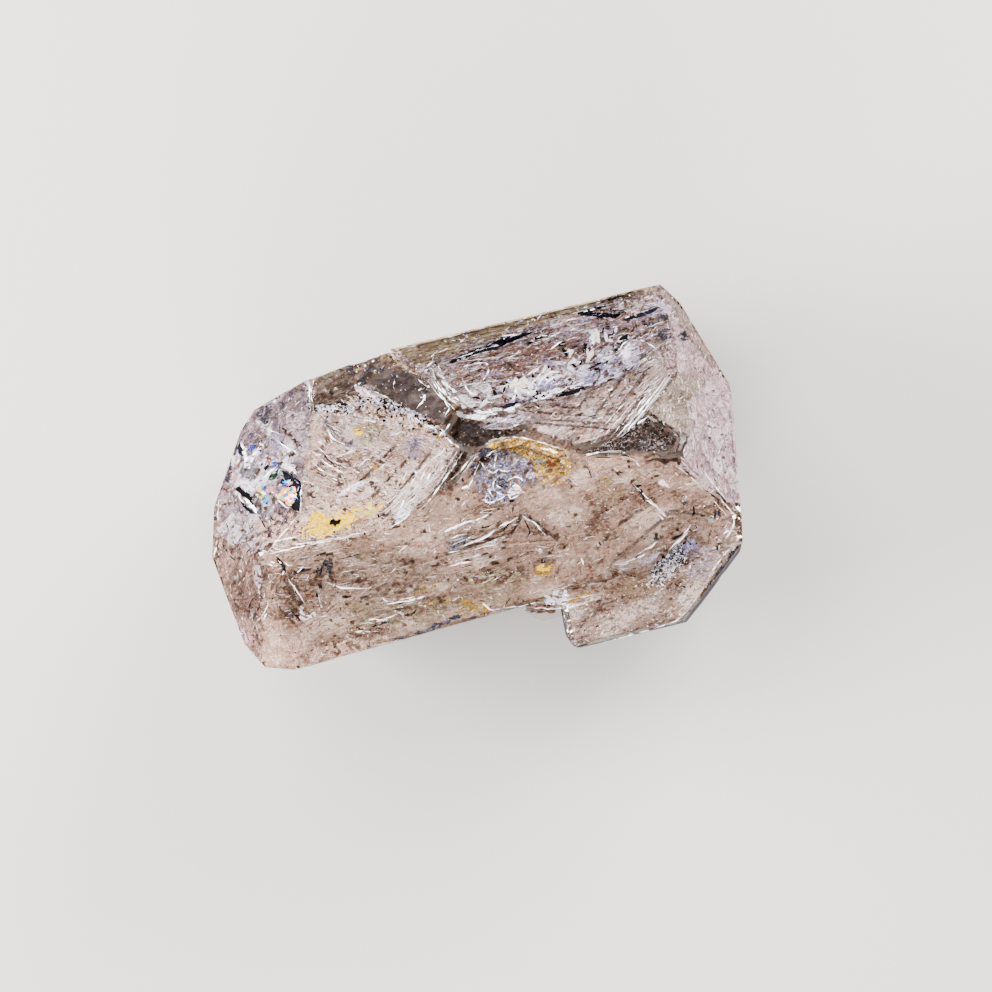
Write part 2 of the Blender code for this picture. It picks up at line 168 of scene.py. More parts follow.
OCHRE_ARCH = [
    (0.8, 1.9), (2.0, 2.2), (3.4, 2.1), (4.6, 1.7), (6.1, 0.9), (7.8, 0.0), (7.4, -0.7),
    (5.9, -0.3), (4.4, 0.0), (3.4, 0.9), (2.2, 1.4),
]
OCHRE_LOBE = [
    (4.4, 0.3), (5.9, 0.1), (7.3, -0.4), (8.0, -1.5), (7.2, -2.5), (5.7, -2.8), (4.7, -1.9),
]
YELLOW_PATCH = [
    (-15.7, -1.8), (-14.8, -0.5), (-13.6, -0.1), (-12.7, -0.5), (-11.7, -0.2), (-10.8, -0.7),
    (-9.4, -0.6), (-8.2, -0.8), (-8.5, -1.3), (-10.3, -1.7), (-12.1, -2.0), (-14.0, -2.6),
]
WINDOW_WHITE = [
    (-0.3, 6.7), (1.5, 7.0), (3.2, 7.0), (5.3, 6.7), (7.4, 6.5), (9.8, 6.4), (11.7, 6.2),
    (10.6, 5.5), (8.5, 5.4), (5.8, 5.4), (3.3, 5.7), (1.5, 5.4), (0.2, 5.3),
]
WINDOW_LILAC = [
    (8.6, 6.0), (11.4, 6.9), (13.7, 7.4), (15.6, 7.1), (15.5, 5.6), (13.6, 4.9), (11.8, 4.7),
    (9.7, 4.9),
]


def linear(hex_colour):
    """An sRGB hex colour as the linear values that Blender's sockets hold."""
    values = [int(hex_colour[i : i + 2], 16) / 255 for i in (1, 3, 5)]
    return tuple(
        v / 12.92 if v <= 0.04045 else ((v + 0.055) / 1.055) ** 2.4 for v in values
    ) + (1.0,)


def add_node(tree, kind, inputs=None, **settings):
    """Adds a shader node, with its settings, its socket values and its incoming links."""
    node = tree.nodes.new(kind)
    for name, value in settings.items():
        setattr(node, name, value)
    for name, value in (inputs or {}).items():
        if isinstance(value, bpy.types.NodeSocket):
            tree.links.new(value, node.inputs[name])
        else:
            node.inputs[name].default_value = value
    return node


def new_material(name):
    """An empty node material, its tree and its output node."""
    material = bpy.data.materials.new(name)
    material.use_nodes = True
    tree = material.node_tree
    tree.nodes.clear()
    return material, tree, tree.nodes.new("ShaderNodeOutputMaterial")


def add_surface(tree, output, values):
    """Adds the surface shader with these socket values."""
    surface = add_node(tree, "ShaderNodeBsdfPrincipled", values)
    tree.links.new(surface.outputs["BSDF"], output.inputs["Surface"])


def colour_steps(tree, factor, stops):
    """A colour ramp with (position, hex colour) stops."""
    ramp = add_node(tree, "ShaderNodeValToRGB", {"Fac": factor})
    steps = ramp.color_ramp.elements
    while len(steps) < len(stops):
        steps.new(0.5)
    for step, (position, colour) in zip(steps, stops):
        step.position = position
        step.color = linear(colour)
    return ramp.outputs["Color"]


def plan_place(tree, size, stretch, turn):
    """Object coordinates in grains of a size in millimetres, drawn out along a direction."""
    place = add_node(tree, "ShaderNodeTexCoord").outputs["Object"]
    scale = tuple(1.0 / (size * MM * s) for s in stretch)
    turned = add_node(
        tree, "ShaderNodeMapping", {"Vector": place, "Rotation": (0.0, 0.0, -turn)}
    )
    sized = add_node(
        tree, "ShaderNodeMapping", {"Vector": turned.outputs["Vector"], "Scale": scale}
    )
    return sized.outputs["Vector"]


def grain_pattern(
    tree, size, stretch=(1.0, 1.0, 1.0), turn=0.0, detail=6.0, roughness=0.6, swirl=0.0
):
    """Noise with grains of a size in millimetres, drawn out along a direction in plan and
    folded over itself by a swirl."""
    return add_node(
        tree,
        "ShaderNodeTexNoise",
        {
            "Vector": plan_place(tree, size, stretch, turn),
            "Scale": 1.0,
            "Detail": detail,
            "Roughness": roughness,
            "Distortion": swirl,
        },
    ).outputs["Fac"]


def raised(tree, height, strength, distance):
    """The normals of a surface that a pattern raises by up to a distance in metres."""
    return add_node(
        tree, "ShaderNodeBump", {"Height": height, "Strength": strength, "Distance": distance}
    ).outputs["Normal"]


def spread(tree, value, low, high, to_low=0.0, to_high=1.0):
    """A value stretched from one range to another and held inside it."""
    return add_node(
        tree,
        "ShaderNodeMapRange",
        {"Value": value, "From Min": low, "From Max": high, "To Min": to_low, "To Max": to_high},
    ).outputs["Result"]


def mixed(tree, share, first, second, kind="RGBA", blend="MIX"):
    """Two colours, or two patterns with kind FLOAT, mixed with a share of the second."""
    one, other, result = {"FLOAT": (2, 3, 0), "RGBA": (6, 7, 2)}[kind]
    node = add_node(
        tree, "ShaderNodeMix", {0: share, one: first, other: second},
        data_type=kind, blend_type=blend,
    )
    return node.outputs[result]


def clear_quartz(settings):
    """Rock crystal, grown and never cut: glassy flat faces with a faint swell from growth,
    colourless but for a little pinkish brown in the depth."""
    material, tree, output = new_material("clear_quartz")
    swell = grain_pattern(tree, 1.1, (2.2, 1.0, 1.0), detail=1.0)
    add_surface(
        tree,
        output,
        {
            "Base Color": linear("#fdfaf8"),
            "Roughness": 0.03,
            "IOR": 1.544,
            "Transmission Weight": 1.0,
            "Normal": raised(tree, swell, 0.25, 0.00012),
        },
    )
    depth = add_node(
        tree,
        "ShaderNodeVolumeAbsorption",
        {"Color": tuple(settings.depth_colour) + (1.0,), "Density": settings.absorption},
    )
    tree.links.new(depth.outputs["Volume"], output.inputs["Volume"])
    return material


def inclusion_material(
    name, stops, grain, roughness=0.5, turn=0.0, stretch=1.0, clouds=None, swirl=0.0,
    shards=None, hues=None, painted_glow=0.0,
):
    """Something inside the quartz. Quartz touches it all over, so it has no gloss of its
    own. It is mottled in a few tones along one direction; clouds gives (size, share) of
    broad soft patches, shards (size, share, seam colour) of broken plates, and hues
    (size, share) of spots that lean to pink or to green. The last setting is the strength of
    a painted glow: emission in the colour of the tones, which stands in for the lamp's
    reflection in crack walls, lighter than any matt white."""
    material, tree, output = new_material(name)
    tone = grain_pattern(tree, grain, (stretch, 1.0, 1.0), turn, 4.0, 0.65, swirl)
    if clouds:
        size, share = clouds
        broad = grain_pattern(tree, size, (1.5, 1.0, 1.0), turn, detail=2.0)
        tone = mixed(tree, share, tone, broad, "FLOAT")
        tone = spread(tree, tone, 0.40, 0.60, 0.32, 0.68)
    if shards:
        size, share, seam = shards
        plates = plan_place(tree, size, (stretch, 1.0, 1.0), turn)
        plate = add_node(tree, "ShaderNodeTexVoronoi", {"Vector": plates, "Scale": 1.0})
        levels = add_node(tree, "ShaderNodeRGBToBW", {"Color": plate.outputs["Color"]})
        tone = mixed(tree, share, tone, levels.outputs["Val"], "FLOAT")
    colour = colour_steps(tree, tone, stops)
    if hues:
        size, share = hues
        patch = grain_pattern(tree, size, detail=3.0, swirl=1.0)
        colour = mixed(tree, share, colour, colour_steps(tree, patch, HUES), blend="MULTIPLY")
    if shards:
        gap = add_node(
            tree, "ShaderNodeTexVoronoi", {"Vector": plates, "Scale": 1.0},
            feature="DISTANCE_TO_EDGE",
        ).outputs["Distance"]
        seam_share = spread(tree, gap, 0.02, 0.07, 0.75, 0.0)
        colour = mixed(tree, seam_share, colour, linear(seam))
    add_surface(
        tree,
        output,
        {
            "Base Color": colour,
            "Roughness": roughness,
            "Specular IOR Level": 0.0,
            # Painted glow: emission stands in for light reflected from the lamp.
            "Emission Color": colour,
            "Emission Strength": painted_glow,
        },
    )
    return material


# Faint colours of thin films, which are multiplied with the tones under them.
HUES = [(0.36, "#f2b4a4"), (0.46, "#ffffff"), (0.54, "#ffffff"), (0.64, "#b8ca9c")]
INCLUSIONS = {
    # name: (position, tone) stops, grain in millimetres, settings
    # Shattered quartz carries a faint painted glow.
    "shattered_quartz": (
        [(0.32, "#2e262e"), (0.4, "#75636a"), (0.5, "#a08c92"), (0.57, "#cdbcc8"),
         (0.64, "#fffaff")],
        0.45, dict(turn=0.5, stretch=1.6, swirl=1.8, shards=(1.3, 0.28, "#5a4a54"),
                   hues=(0.5, 0.4), painted_glow=0.15),
    ),
    "bubbly_film": (
        [(0.34, "#1d1b2c"), (0.46, "#5a566e"), (0.56, "#8f889c"), (0.66, "#ffffff")],
        0.5, dict(turn=0.9, stretch=1.6, swirl=2.4),
    ),
    # Painted shade: little light comes back from under the hollow faces, so these films are painted dark
    # there.
    "painted_shade_film": (
        [(0.34, "#32261f"), (0.48, "#5a4a42"), (0.6, "#7c6c64"), (0.7, "#aa9a92")],
        0.5, dict(roughness=0.35, turn=0.4, stretch=1.4, swirl=0.8, clouds=(2.0, 0.4),
                  hues=(0.6, 0.8)),
    ),
    "painted_deep_shade": (
        [(0.34, "#2a2220"), (0.5, "#483d3b"), (0.66, "#6c605c")],
        1.0, dict(roughness=0.35, swirl=0.6, hues=(0.4, 0.4)),
    ),
    "painted_window_shade": (
        [(0.35, "#221813"), (0.5, "#43342b"), (0.66, "#7c685c")], 0.35, dict(roughness=0.3),
    ),
    "notch_shade_film": (
        [(0.36, "#241a18"), (0.47, "#5a4a44"), (0.56, "#80706a"), (0.63, "#fff4f4")],
        0.35, dict(roughness=0.3, swirl=1.4),
    ),
    # Thin open cracks show interference colours, in bands, under a painted glow.
    "rainbow_crack": (
        [(0.33, "#0c0a1c"), (0.4, "#2838c0"), (0.44, "#20b4e8"), (0.48, "#109850"),
         (0.52, "#f0e428"), (0.56, "#ff6408"), (0.61, "#e070a0"), (0.67, "#fff4ff")],
        0.75, dict(stretch=1.4, swirl=1.2, painted_glow=0.5),
    ),
    # Iron oxide stains are earthy and matt.
    "iron_ochre": (
        [(0.34, "#3c2808"), (0.42, "#7e5c1c"), (0.49, "#a8802e"), (0.55, "#c8a458"),
         (0.63, "#fff0cc")],
        0.3, dict(roughness=0.6, swirl=1.8, hues=(0.4, 0.5)),
    ),
    # Yellow ochre carries a painted glow that lifts it past a lit matt yellow.
    "yellow_ochre": (
        [(0.34, "#8a6a00"), (0.43, "#e0b400"), (0.53, "#fcd810"), (0.61, "#fff08c"),
         (0.69, "#fffdf0")],
        0.35, dict(roughness=0.6, swirl=1.5, painted_glow=0.5),
    ),
    "olive_ochre": (
        [(0.34, "#5c4618"), (0.48, "#94783c"), (0.64, "#d8c08c")], 0.3, dict(swirl=1.5),
    ),
    # Crack walls: white ones are painted as if they mirror the lamp, with a painted glow,
    # and brown and dark ones are painted shade where they mirror nothing bright.
    "crack_painted_reflection": ([(0.4, "#e2d8dc"), (0.6, "#fffafc")], 0.2, dict(roughness=0.35, painted_glow=0.6)),
    "brown_crack_shade": ([(0.4, "#0c0807"), (0.6, "#2e2420")], 0.2, dict(roughness=0.3)),
    "lilac_crack": ([(0.4, "#8a80b0"), (0.6, "#d6caee")], 0.3, dict(roughness=0.3)),
    "gap_painted_shade": ([(0.4, "#050507"), (0.6, "#1d1b22")], 0.2, dict(roughness=0.25)),
    "edge_painted_highlight": ([(0.4, "#f4eef8"), (0.6, "#ffffff")], 0.2, dict(roughness=0.4, painted_glow=0.8)),
    # Dust, specks and flakes; the white grains carry a painted glow.
    "white_grain": ([(0.4, "#f3edf4"), (0.6, "#ffffff")], 0.2, dict(painted_glow=0.8)),
    "lilac_grain": ([(0.4, "#9a90bc"), (0.6, "#e2d8f2")], 0.2, {}),
    "brown_grain": ([(0.4, "#2e1c12"), (0.6, "#6b4a36")], 0.2, {}),
    "black_grain": ([(0.4, "#040303"), (0.6, "#161211")], 0.2, {}),
}


def inclusion(name):
    """A material of the table, made when it is first asked for."""
    stops, grain, settings = INCLUSIONS[name]
    return bpy.data.materials.get(name) or inclusion_material(name, stops, grain, **settings)


def floor_material(settings):
    """Matt off-white paper board: pale, even, with no gloss."""
    material, tree, output = new_material("floor_board")
    fibres = grain_pattern(tree, 0.9, detail=4.0)
    add_surface(
        tree,
        output,
        {
            "Base Color": tuple(settings.floor_colour) + (1.0,),
            "Roughness": 0.85,
            "Normal": raised(tree, fibres, 0.05, 0.00004),
        },
    )
    return material


def frame_place(x, y, z):
    """A place along the crystal's own axes, at a height in metres, as the frame has it."""
    return Vector(((x + ORIGIN_SHIFT[0]) * MM, (y + ORIGIN_SHIFT[1]) * MM, z))


class Crystal:
    """The finished outer surface, for placing things under it."""

    tree = None

    @classmethod
    def read(cls, thing):
        graph = bpy.context.evaluated_depsgraph_get()
        cls.tree = BVHTree.FromObject(thing, graph)

    @classmethod
    def height(cls, x, y, start, direction):
        """Height in millimetres where a ray down or up meets the surface, or None."""
        hit = cls.tree.ray_cast(frame_place(x, y, start), Vector((0.0, 0.0, direction)))[0]
        return hit.z / MM if hit else None

    @classmethod
    def top(cls, x, y):
        """Height in millimetres of the surface over a place, or None outside the crystal."""
        return cls.height(x, y, ABOVE, -1.0)

    @classmethod
    def bottom(cls, x, y):
        """Height in millimetres of the underside at a place inside the outline."""
        return cls.height(x, y, BELOW, 1.0) or 0.0

    @classmethod
    def holds(cls, point, margin):
        """True where a point in metres is inside by at least a margin in millimetres."""
        nearest, normal, _, distance = cls.tree.find_nearest(point)
        return (nearest - point).dot(normal) > 0 and distance >= margin * MM


def inside_point(x, y, depth):
    """The frame's point that lies this deep, in millimetres, under the surface at a place."""
    top = Crystal.top(x, y)
    if top is None:
        return None
    floor = Crystal.bottom(x, y) + COVER
    if top < floor + COVER:
        return None
    # Near the rim the underside slants in, so a deep place is lifted to stay inside.
    return frame_place(x, y, max(top - depth, floor) * MM)


def lowest_around(x, y, reach):
    """The lowest surface height near a place inside the crystal."""
    steps = ((0.0, 0.0), (reach, 0.0), (-reach, 0.0), (0.0, reach), (0.0, -reach))
    heights = [Crystal.top(x + right, y + up) for right, up in steps]
    return min(height for height in heights if height is not None)


def in_outline(outline, x, y):
    """True for a place inside a closed outline."""
    inside = False
    for (x1, y1), (x2, y2) in zip(outline, outline[1:] + outline[:1]):
        if (y1 > y) != (y2 > y) and x < (x2 - x1) * (y - y1) / (y2 - y1) + x1:
            inside = not inside
    return inside


def extent(outline):
    """The lowest and highest X, then the lowest and highest Y, of an outline."""
    xs, ys = zip(*outline)
    return min(xs), max(xs), min(ys), max(ys)


def oval(x, y, long_radius, short_radius, turn=0.0):
    """A closed oval outline, turned in plan by degrees."""
    cosine, sine = math.cos(math.radians(turn)), math.sin(math.radians(turn))
    outline = []
    for i in range(16):
        angle = math.tau * i / 16
        along, across = math.cos(angle) * long_radius, math.sin(angle) * short_radius
        outline.append((x + along * cosine - across * sine, y + along * sine + across * cosine))
    return outline


def random_place(outline, rng):
    """A random place inside an outline."""
    left, right, low, high = extent(outline)
    while True:
        x, y = rng.uniform(left, right), rng.uniform(low, high)
        if in_outline(outline, x, y):
            return x, y


def deselect_all():
    bpy.ops.object.select_all(action="DESELECT")


def make_only_selected(thing):
    deselect_all()
    bpy.context.view_layer.objects.active = thing
    thing.select_set(True)


def add_thing(name, data):
    """An object with this data in the scene, the only one selected."""
    thing = bpy.data.objects.new(name, data)
    bpy.context.scene.collection.objects.link(thing)
    make_only_selected(thing)
    return thing


def finish_piece(thing, name, material):
    """Names a piece, gives it its finish and has it ride on the crystal's body."""
    thing.name = name
    thing.data.name = name
    thing.data.materials.clear()
    for finish in material if isinstance(material, list) else [material]:
        thing.data.materials.append(finish)
    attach(thing, BODY)
    return thing


def thicken(thing):
    """Gives a film or a plate its thickness."""
    wall = thing.modifiers.new("thickness", "SOLIDIFY")
    wall.thickness = FILM_THICKNESS * MM
    wall.offset = 0.0
    bpy.ops.object.modifier_apply(modifier=wall.name)


def growth_value(x, y, turn, grain, stretch, seed):
    """Cloudy growth noise at a place, drawn out along a direction in plan."""
    along = (x * math.cos(turn) + y * math.sin(turn)) / (grain * stretch)
    across = (-x * math.sin(turn) + y * math.cos(turn)) / grain
    return noise.fractal(Vector((along, across, seed)), 0.8, 2.1, 4)


def drop_small_islands(shape, least):
    """Deletes groups of joined faces that hold too few of them."""
    seen = set()
    small = []
    for face in shape.faces:
        if face in seen:
            continue
        group, edge_of_search = [face], [face]
        seen.add(face)
        while edge_of_search:
            here = edge_of_search.pop()
            for edge in here.edges:
                for other in edge.link_faces:
                    if other not in seen:
                        seen.add(other)
                        group.append(other)
                        edge_of_search.append(other)
        if len(group) < least:
            small += group
    bmesh.ops.delete(shape, geom=small, context="FACES")


def open_pinched_corners(shape):
    """Deletes the faces at corners where two holes only just touch."""
    while True:
        pinched = [
            face
            for corner in shape.verts
            if sum(edge.is_boundary for edge in corner.link_edges) > 2
            for face in corner.link_faces
        ]
        if not pinched:
            return
        bmesh.ops.delete(shape, geom=list(set(pinched)), context="FACES")


def trim_film(shape, outline, ragged, open_share, growth, seed):
    """Cuts a grid to a ragged outline and opens the gaps where growth was slowest."""
    inside = []
    outside = []
    for face in shape.faces:
        x, y = face.calc_center_median().xy
        place = Vector((x * RAGGED_NOISE, y * RAGGED_NOISE, seed))
        shift = noise.noise_vector(place) * ragged
        if in_outline(outline, x + shift.x, y + shift.y) and Crystal.top(x, y) is not None:
            inside.append((growth_value(x, y, *growth, seed), face))
        else:
            outside.append(face)
    inside.sort(key=lambda pair: pair[0])
    outside += [face for value, face in inside[: int(open_share * len(inside))]]
    bmesh.ops.delete(shape, geom=outside, context="FACES")
    drop_small_islands(shape, LEAST_ISLAND)
    open_pinched_corners(shape)
    drop_small_islands(shape, LEAST_ISLAND)
    edge_corners = [corner for corner in shape.verts if corner.is_boundary]
    bmesh.ops.smooth_vert(
        shape, verts=edge_corners, factor=0.5, use_axis_x=True, use_axis_y=True
    )


def drop_ledges(shape, cell):
    """Deletes the faces that would run down a ledge of the surface."""
    steep = []
    for face in shape.faces:
        heights = [corner.co.z for corner in face.verts]
        if max(heights) - min(heights) > STEEPEST * cell * MM:
            steep.append(face)
    bmesh.ops.delete(shape, geom=steep, context="FACES")
    open_pinched_corners(shape)
    drop_small_islands(shape, LEAST_AFTER_LEDGES)


def lace(
    name, outline, depth, material, cell=FINE_CELL, turn=0.0, grain=0.5, stretch=4.0,
    open_share=0.2, ripple=0.12, ragged=0.3, seed=0.0, reach=0.0,
):
    """A thin film with gaps: a grid trimmed to a ragged outline, crumpled under the surface
    and given a thickness."""
    left, right, low, high = extent(outline)
    width, length = right - left, high - low
    angle = math.radians(turn)
    deselect_all()
    bpy.ops.mesh.primitive_grid_add(
        x_subdivisions=max(2, int(width / cell)),
        y_subdivisions=max(2, int(length / cell)),
        size=1.0,
        location=(0.0, 0.0, 0.0),
    )
    film = bpy.context.object
    bpy.ops.object.mode_set(mode="EDIT")
    bpy.ops.transform.resize(value=(width, length, 1.0))
    bpy.ops.transform.translate(value=((right + left) / 2, (high + low) / 2, 0.0))
    shape = bmesh.from_edit_mesh(film.data)
    trim_film(shape, outline, ragged, open_share, (angle, grain, stretch), seed)
    lost = []
    for corner in shape.verts:
        x, y = corner.co.xy
        lift = growth_value(x, y, angle, grain * 0.8, stretch, seed + 9.0) * ripple
        point = inside_point(x, y, depth - lift)
        if point is None:
            lost.append(corner)
            continue
        if reach:
            lowest = lowest_around(x, y, reach) - depth + lift
            point.z = max(lowest, Crystal.bottom(x, y) + COVER) * MM
        corner.co = point
    bmesh.ops.delete(shape, geom=lost, context="VERTS")
    drop_ledges(shape, cell)
    bmesh.update_edit_mesh(film.data)
    bpy.ops.object.mode_set(mode="OBJECT")
    thicken(film)
    return finish_piece(film, name, material)


def resampled(points, step):
    """Points along a path, about a step apart."""
    out = [points[0]]
    for (x1, y1), (x2, y2) in zip(points, points[1:]):
        count = max(1, round(math.hypot(x2 - x1, y2 - y1) / step))
        for i in range(1, count + 1):
            out.append((x1 + (x2 - x1) * i / count, y1 + (y2 - y1) * i / count))
    return out


def smooth_path(points, rounds=2):
    """A path with its corners cut, so that it curves through its points."""
    for _ in range(rounds):
        cut = [points[0]]
        for (x1, y1), (x2, y2) in zip(points, points[1:]):
            cut.append((x1 * 0.75 + x2 * 0.25, y1 * 0.75 + y2 * 0.25))
            cut.append((x1 * 0.25 + x2 * 0.75, y1 * 0.25 + y2 * 0.75))
        cut.append(points[-1])
        points = cut
    return points


def strokes(name, lines, material, step=0.25, wander=0.04):
    """Fine lines in the quartz, each a thin tapered tube. A line is (path, width, depth)."""
    data = bpy.data.curves.new(name, "CURVE")
    data.dimensions = "3D"
    data.bevel_depth = MM / 2
    data.bevel_resolution = 0
    data.use_fill_caps = True
    for number, (path, width, depth) in enumerate(lines):
        path = resampled(smooth_path(path), step)
        runs = [[]]
        for i, (x, y) in enumerate(path):
            place = Vector((x * DRIFT_NOISE, y * DRIFT_NOISE, 3.0 + number * 0.37))
            drift = noise.noise_vector(place) * wander
            point = inside_point(x + drift.x, y + drift.y, depth + drift.z)
            if point is None:
                continue
            # A line ends at a ledge and starts again beyond it.
            if runs[-1] and abs(point.z - runs[-1][-1][0].z) > STEEPEST * step * MM:
                runs.append([])
            runs[-1].append((point, i / max(1, len(path) - 1)))
        for places in runs:
            if len(places) < 2:
                continue
            spline = data.splines.new("POLY")
            spline.points.add(len(places) - 1)
            for dot, (point, share) in zip(spline.points, places):
                place = point * SWELL_NOISE + Vector((0.0, 0.0, number))
                swell = 0.55 + 1.7 * noise.noise(place)
                ends = min(1.0, 3.0 * share, 3.0 * (1.0 - share))
                dot.co = (*point, 1.0)
                dot.radius = width * min(1.0, max(0.08, swell * ends))
    add_thing(name, data)
    bpy.ops.object.convert(target="MESH")
    return finish_piece(bpy.context.object, name, material)


def between_guides(rng, guides, count, span, widths, depths, rows=(0.0, 1.0)):
    """Lines that follow guide curves: each lies at a share between two of them and covers
    part of their length."""
    lines = []
    smooth = []
    for guide in guides:
        path = resampled(smooth_path(guide), 0.2)
        last = len(path) - 1
        smooth.append([path[round(i * last / GUIDE_STEPS)] for i in range(GUIDE_STEPS + 1)])
    for _ in range(count):
        row = rng.uniform(*rows) * (len(smooth) - 1)
        low = min(int(row), len(smooth) - 2)
        share = row - low
        length = rng.uniform(*span)
        start = rng.uniform(0.0, 1.0 - length)
        first = round(start * GUIDE_STEPS)
        last = max(first + 1, round((start + length) * GUIDE_STEPS))
        tilt = rng.gauss(0.0, 0.07)
        path = []
        for i in range(first, last + 1):
            (x1, y1), (x2, y2) = smooth[low][i], smooth[low + 1][i]
            part = share + tilt * (i - first) / (last - first)
            path.append((x1 + (x2 - x1) * part, y1 + (y2 - y1) * part))
        if len(path) > 4:
            path = path[::2] + ([path[-1]] if len(path) % 2 == 0 else [])
        lines.append((path, rng.uniform(*widths), rng.uniform(*depths)))
    return lines


def plates(name, rows, finishes):
    """Thin broken plates as one piece. A row is (finish, outline, depth)."""
    mesh = bpy.data.meshes.new(name)
    shape = bmesh.new()
    order = list(finishes)
    for number, (finish, outline, depth) in enumerate(rows):
        corners = []
        rough = min(0.07, 0.07 * math.dist(outline[0], outline[len(outline) // 2]))
        for x, y in resampled(outline + outline[:1], 0.16)[:-1]:
            place = Vector((x * CHIP_NOISE, y * CHIP_NOISE, number))
            chip = noise.noise_vector(place) * rough
            point = inside_point(x + chip.x, y + chip.y, depth + chip.z * 0.3)
            if point is not None:
                corners.append(shape.verts.new(point))
        if len(corners) < 3:
            continue
        plate = shape.faces.new(corners)
        plate.normal_update()
        if plate.normal.z < 0:
            plate.normal_flip()
        plate.material_index = order.index(finish)
    bmesh.ops.triangulate(shape, faces=shape.faces[:])
    shape.to_mesh(mesh)
    shape.free()
    thing = add_thing(name, mesh)
    kinds = [face.material_index for face in mesh.polygons]
    finish_piece(thing, name, list(finishes.values()))
    mesh.polygons.foreach_set("material_index", kinds)
    thicken(thing)


def joined(things, name):
    """Several pieces of one finish made into one."""
    make_only_selected(things[0])
    for thing in things[1:]:
        thing.select_set(True)
    if len(things) > 1:
        bpy.ops.object.join()
    things[0].name = name
    things[0].data.name = name


def from_lowest(face):
    """A face's corners in their order from the lowest on, because a primitive's first
    corner varies between runs."""
    first = face.index(min(face))
    return face[first:] + face[:first]


def template(kind):
    """The corners and faces of one small shape, from a primitive."""
    deselect_all()
    if kind == "spindle":
        bpy.ops.mesh.primitive_uv_sphere_add(segments=5, ring_count=4, radius=1.0)
    elif kind == "flake":
        bpy.ops.mesh.primitive_cone_add(vertices=6, radius1=1.0, radius2=0.7, depth=1.0)
    else:
        bpy.ops.mesh.primitive_ico_sphere_add(subdivisions=1, radius=1.0)
    thing = bpy.context.object
    corners = [v.co.copy() for v in thing.data.vertices]
    faces = sorted(from_lowest(tuple(f.vertices)) for f in thing.data.polygons)
    bpy.data.objects.remove(thing, do_unlink=True)
    return corners, faces


def repeated(name, kind, places, material, jitter):
    """Copies of one small shape at many places, as one mesh. A place is (matrix, finish)."""
    corners, faces = template(kind)
    rng = random.Random(1)
    points, polygons, finishes = [], [], []
    for matrix, finish in places:
        start = len(points)
        for corner in corners:
            bent = corner * (1.0 + rng.uniform(-jitter, jitter))
            points.append(matrix @ bent)
        polygons += [tuple(start + i for i in face) for face in faces]
        finishes += [finish] * len(faces)
    mesh = bpy.data.meshes.new(name)
    mesh.from_pydata(points, [], polygons)
    finish_piece(add_thing(name, mesh), name, material)
    mesh.polygons.foreach_set("material_index", finishes)
    mesh.update()


def between(start, end, width, thickness):
    """The matrix that stretches a unit shape's Z from one point to another."""
    along = end - start
    length = along.length
    along.normalize()
    across = Vector((0.0, 0.0, 1.0)).cross(along)
    if across.length < 1e-6:
        across = Vector((1.0, 0.0, 0.0))
    across.normalize()
    over = along.cross(across)
    turn = Matrix((across, over, along)).transposed().to_4x4()
    size = Matrix.Diagonal((width / 2 * MM, thickness / 2 * MM, length / 2, 1.0))
    return Matrix.Translation((start + end) / 2) @ turn @ size


def line_places(rng, outline, count, angle, angle_spread, lengths, widths, depths, finishes):
    """Thin lines scattered inside an outline, near one direction in plan (degrees)."""
    places = []
    while len(places) < count:
        x, y = random_place(outline, rng)
        turn = math.radians(angle + rng.gauss(0.0, angle_spread))
        half = rng.uniform(*lengths) / 2
        step = (math.cos(turn) * half, math.sin(turn) * half)
        depth = rng.uniform(*depths)
        start = inside_point(x - step[0], y - step[1], depth)
        end = inside_point(x + step[0], y + step[1], depth + rng.uniform(-0.1, 0.1))
        if start is None or end is None or abs(end.z - start.z) > STEEPEST * half * MM:
            continue
        width = rng.uniform(*widths)
        places.append((between(start, end, width, width * 0.35), rng.choice(finishes)))
    return places


def flake_places(rng, outline, count, sizes, depths, tilt, finishes, stretch=(1.0, 2.2)):
    """Flat flakes scattered inside an outline, leaning up to a tilt in degrees."""
    places = []
    while len(places) < count:
        x, y = random_place(outline, rng)
        point = inside_point(x, y, rng.uniform(*depths))
        if point is None or not Crystal.holds(point, 0.15):
            continue
        size = rng.uniform(*sizes) / 2 * MM
        turn = (
            Matrix.Rotation(rng.uniform(0.0, math.tau), 4, "Z")
            @ Matrix.Rotation(math.radians(rng.uniform(-tilt, tilt)), 4, "X")
            @ Matrix.Rotation(math.radians(rng.uniform(-tilt, tilt)), 4, "Y")
        )
        shape = Matrix.Diagonal((size * rng.uniform(*stretch), size, size * 0.10, 1.0))
        places.append((Matrix.Translation(point) @ turn @ shape, rng.choice(finishes)))
    return places


def speck_places(rng, outline, count, sizes, depths, finishes):
    """Small round grains scattered inside an outline."""
    places = []
    while len(places) < count:
        x, y = random_place(outline, rng)
        point = inside_point(x, y, rng.uniform(*depths))
        if point is None:
            continue
        size = rng.uniform(*sizes) / 2 * MM * rng.choice(SPECK_SIZES)
        shape = Matrix.Diagonal((size * rng.uniform(0.7, 1.6), size, size * 0.7, 1.0))
        turn = Matrix.Rotation(rng.uniform(0.0, math.tau), 4, "Z")
        places.append((Matrix.Translation(point) @ turn @ shape, rng.choice(finishes)))
    return places


class StageSettings(bpy.types.PropertyGroup):
    floor_colour: bpy.props.FloatVectorProperty(
        name="Floor colour", description="Colour of the floor", subtype="COLOR",
        default=linear("#b3b0ac")[:3], min=0.0, max=1.0,
    )
    floor_size: bpy.props.FloatProperty(
        name="Floor size", description="Side of the square floor", default=1.6,
        unit="LENGTH", min=0.2,
    )
    key_power: bpy.props.FloatProperty(
        name="Key light", description="Power of the soft light from above in watts", default=4.6
    )
    side_power: bpy.props.FloatProperty(
        name="Side lights", description="Power of each low side panel in watts", default=12.0
    )
    lens: bpy.props.FloatProperty(
        name="Lens", description="Focal length of the camera in millimetres", default=150.0
    )


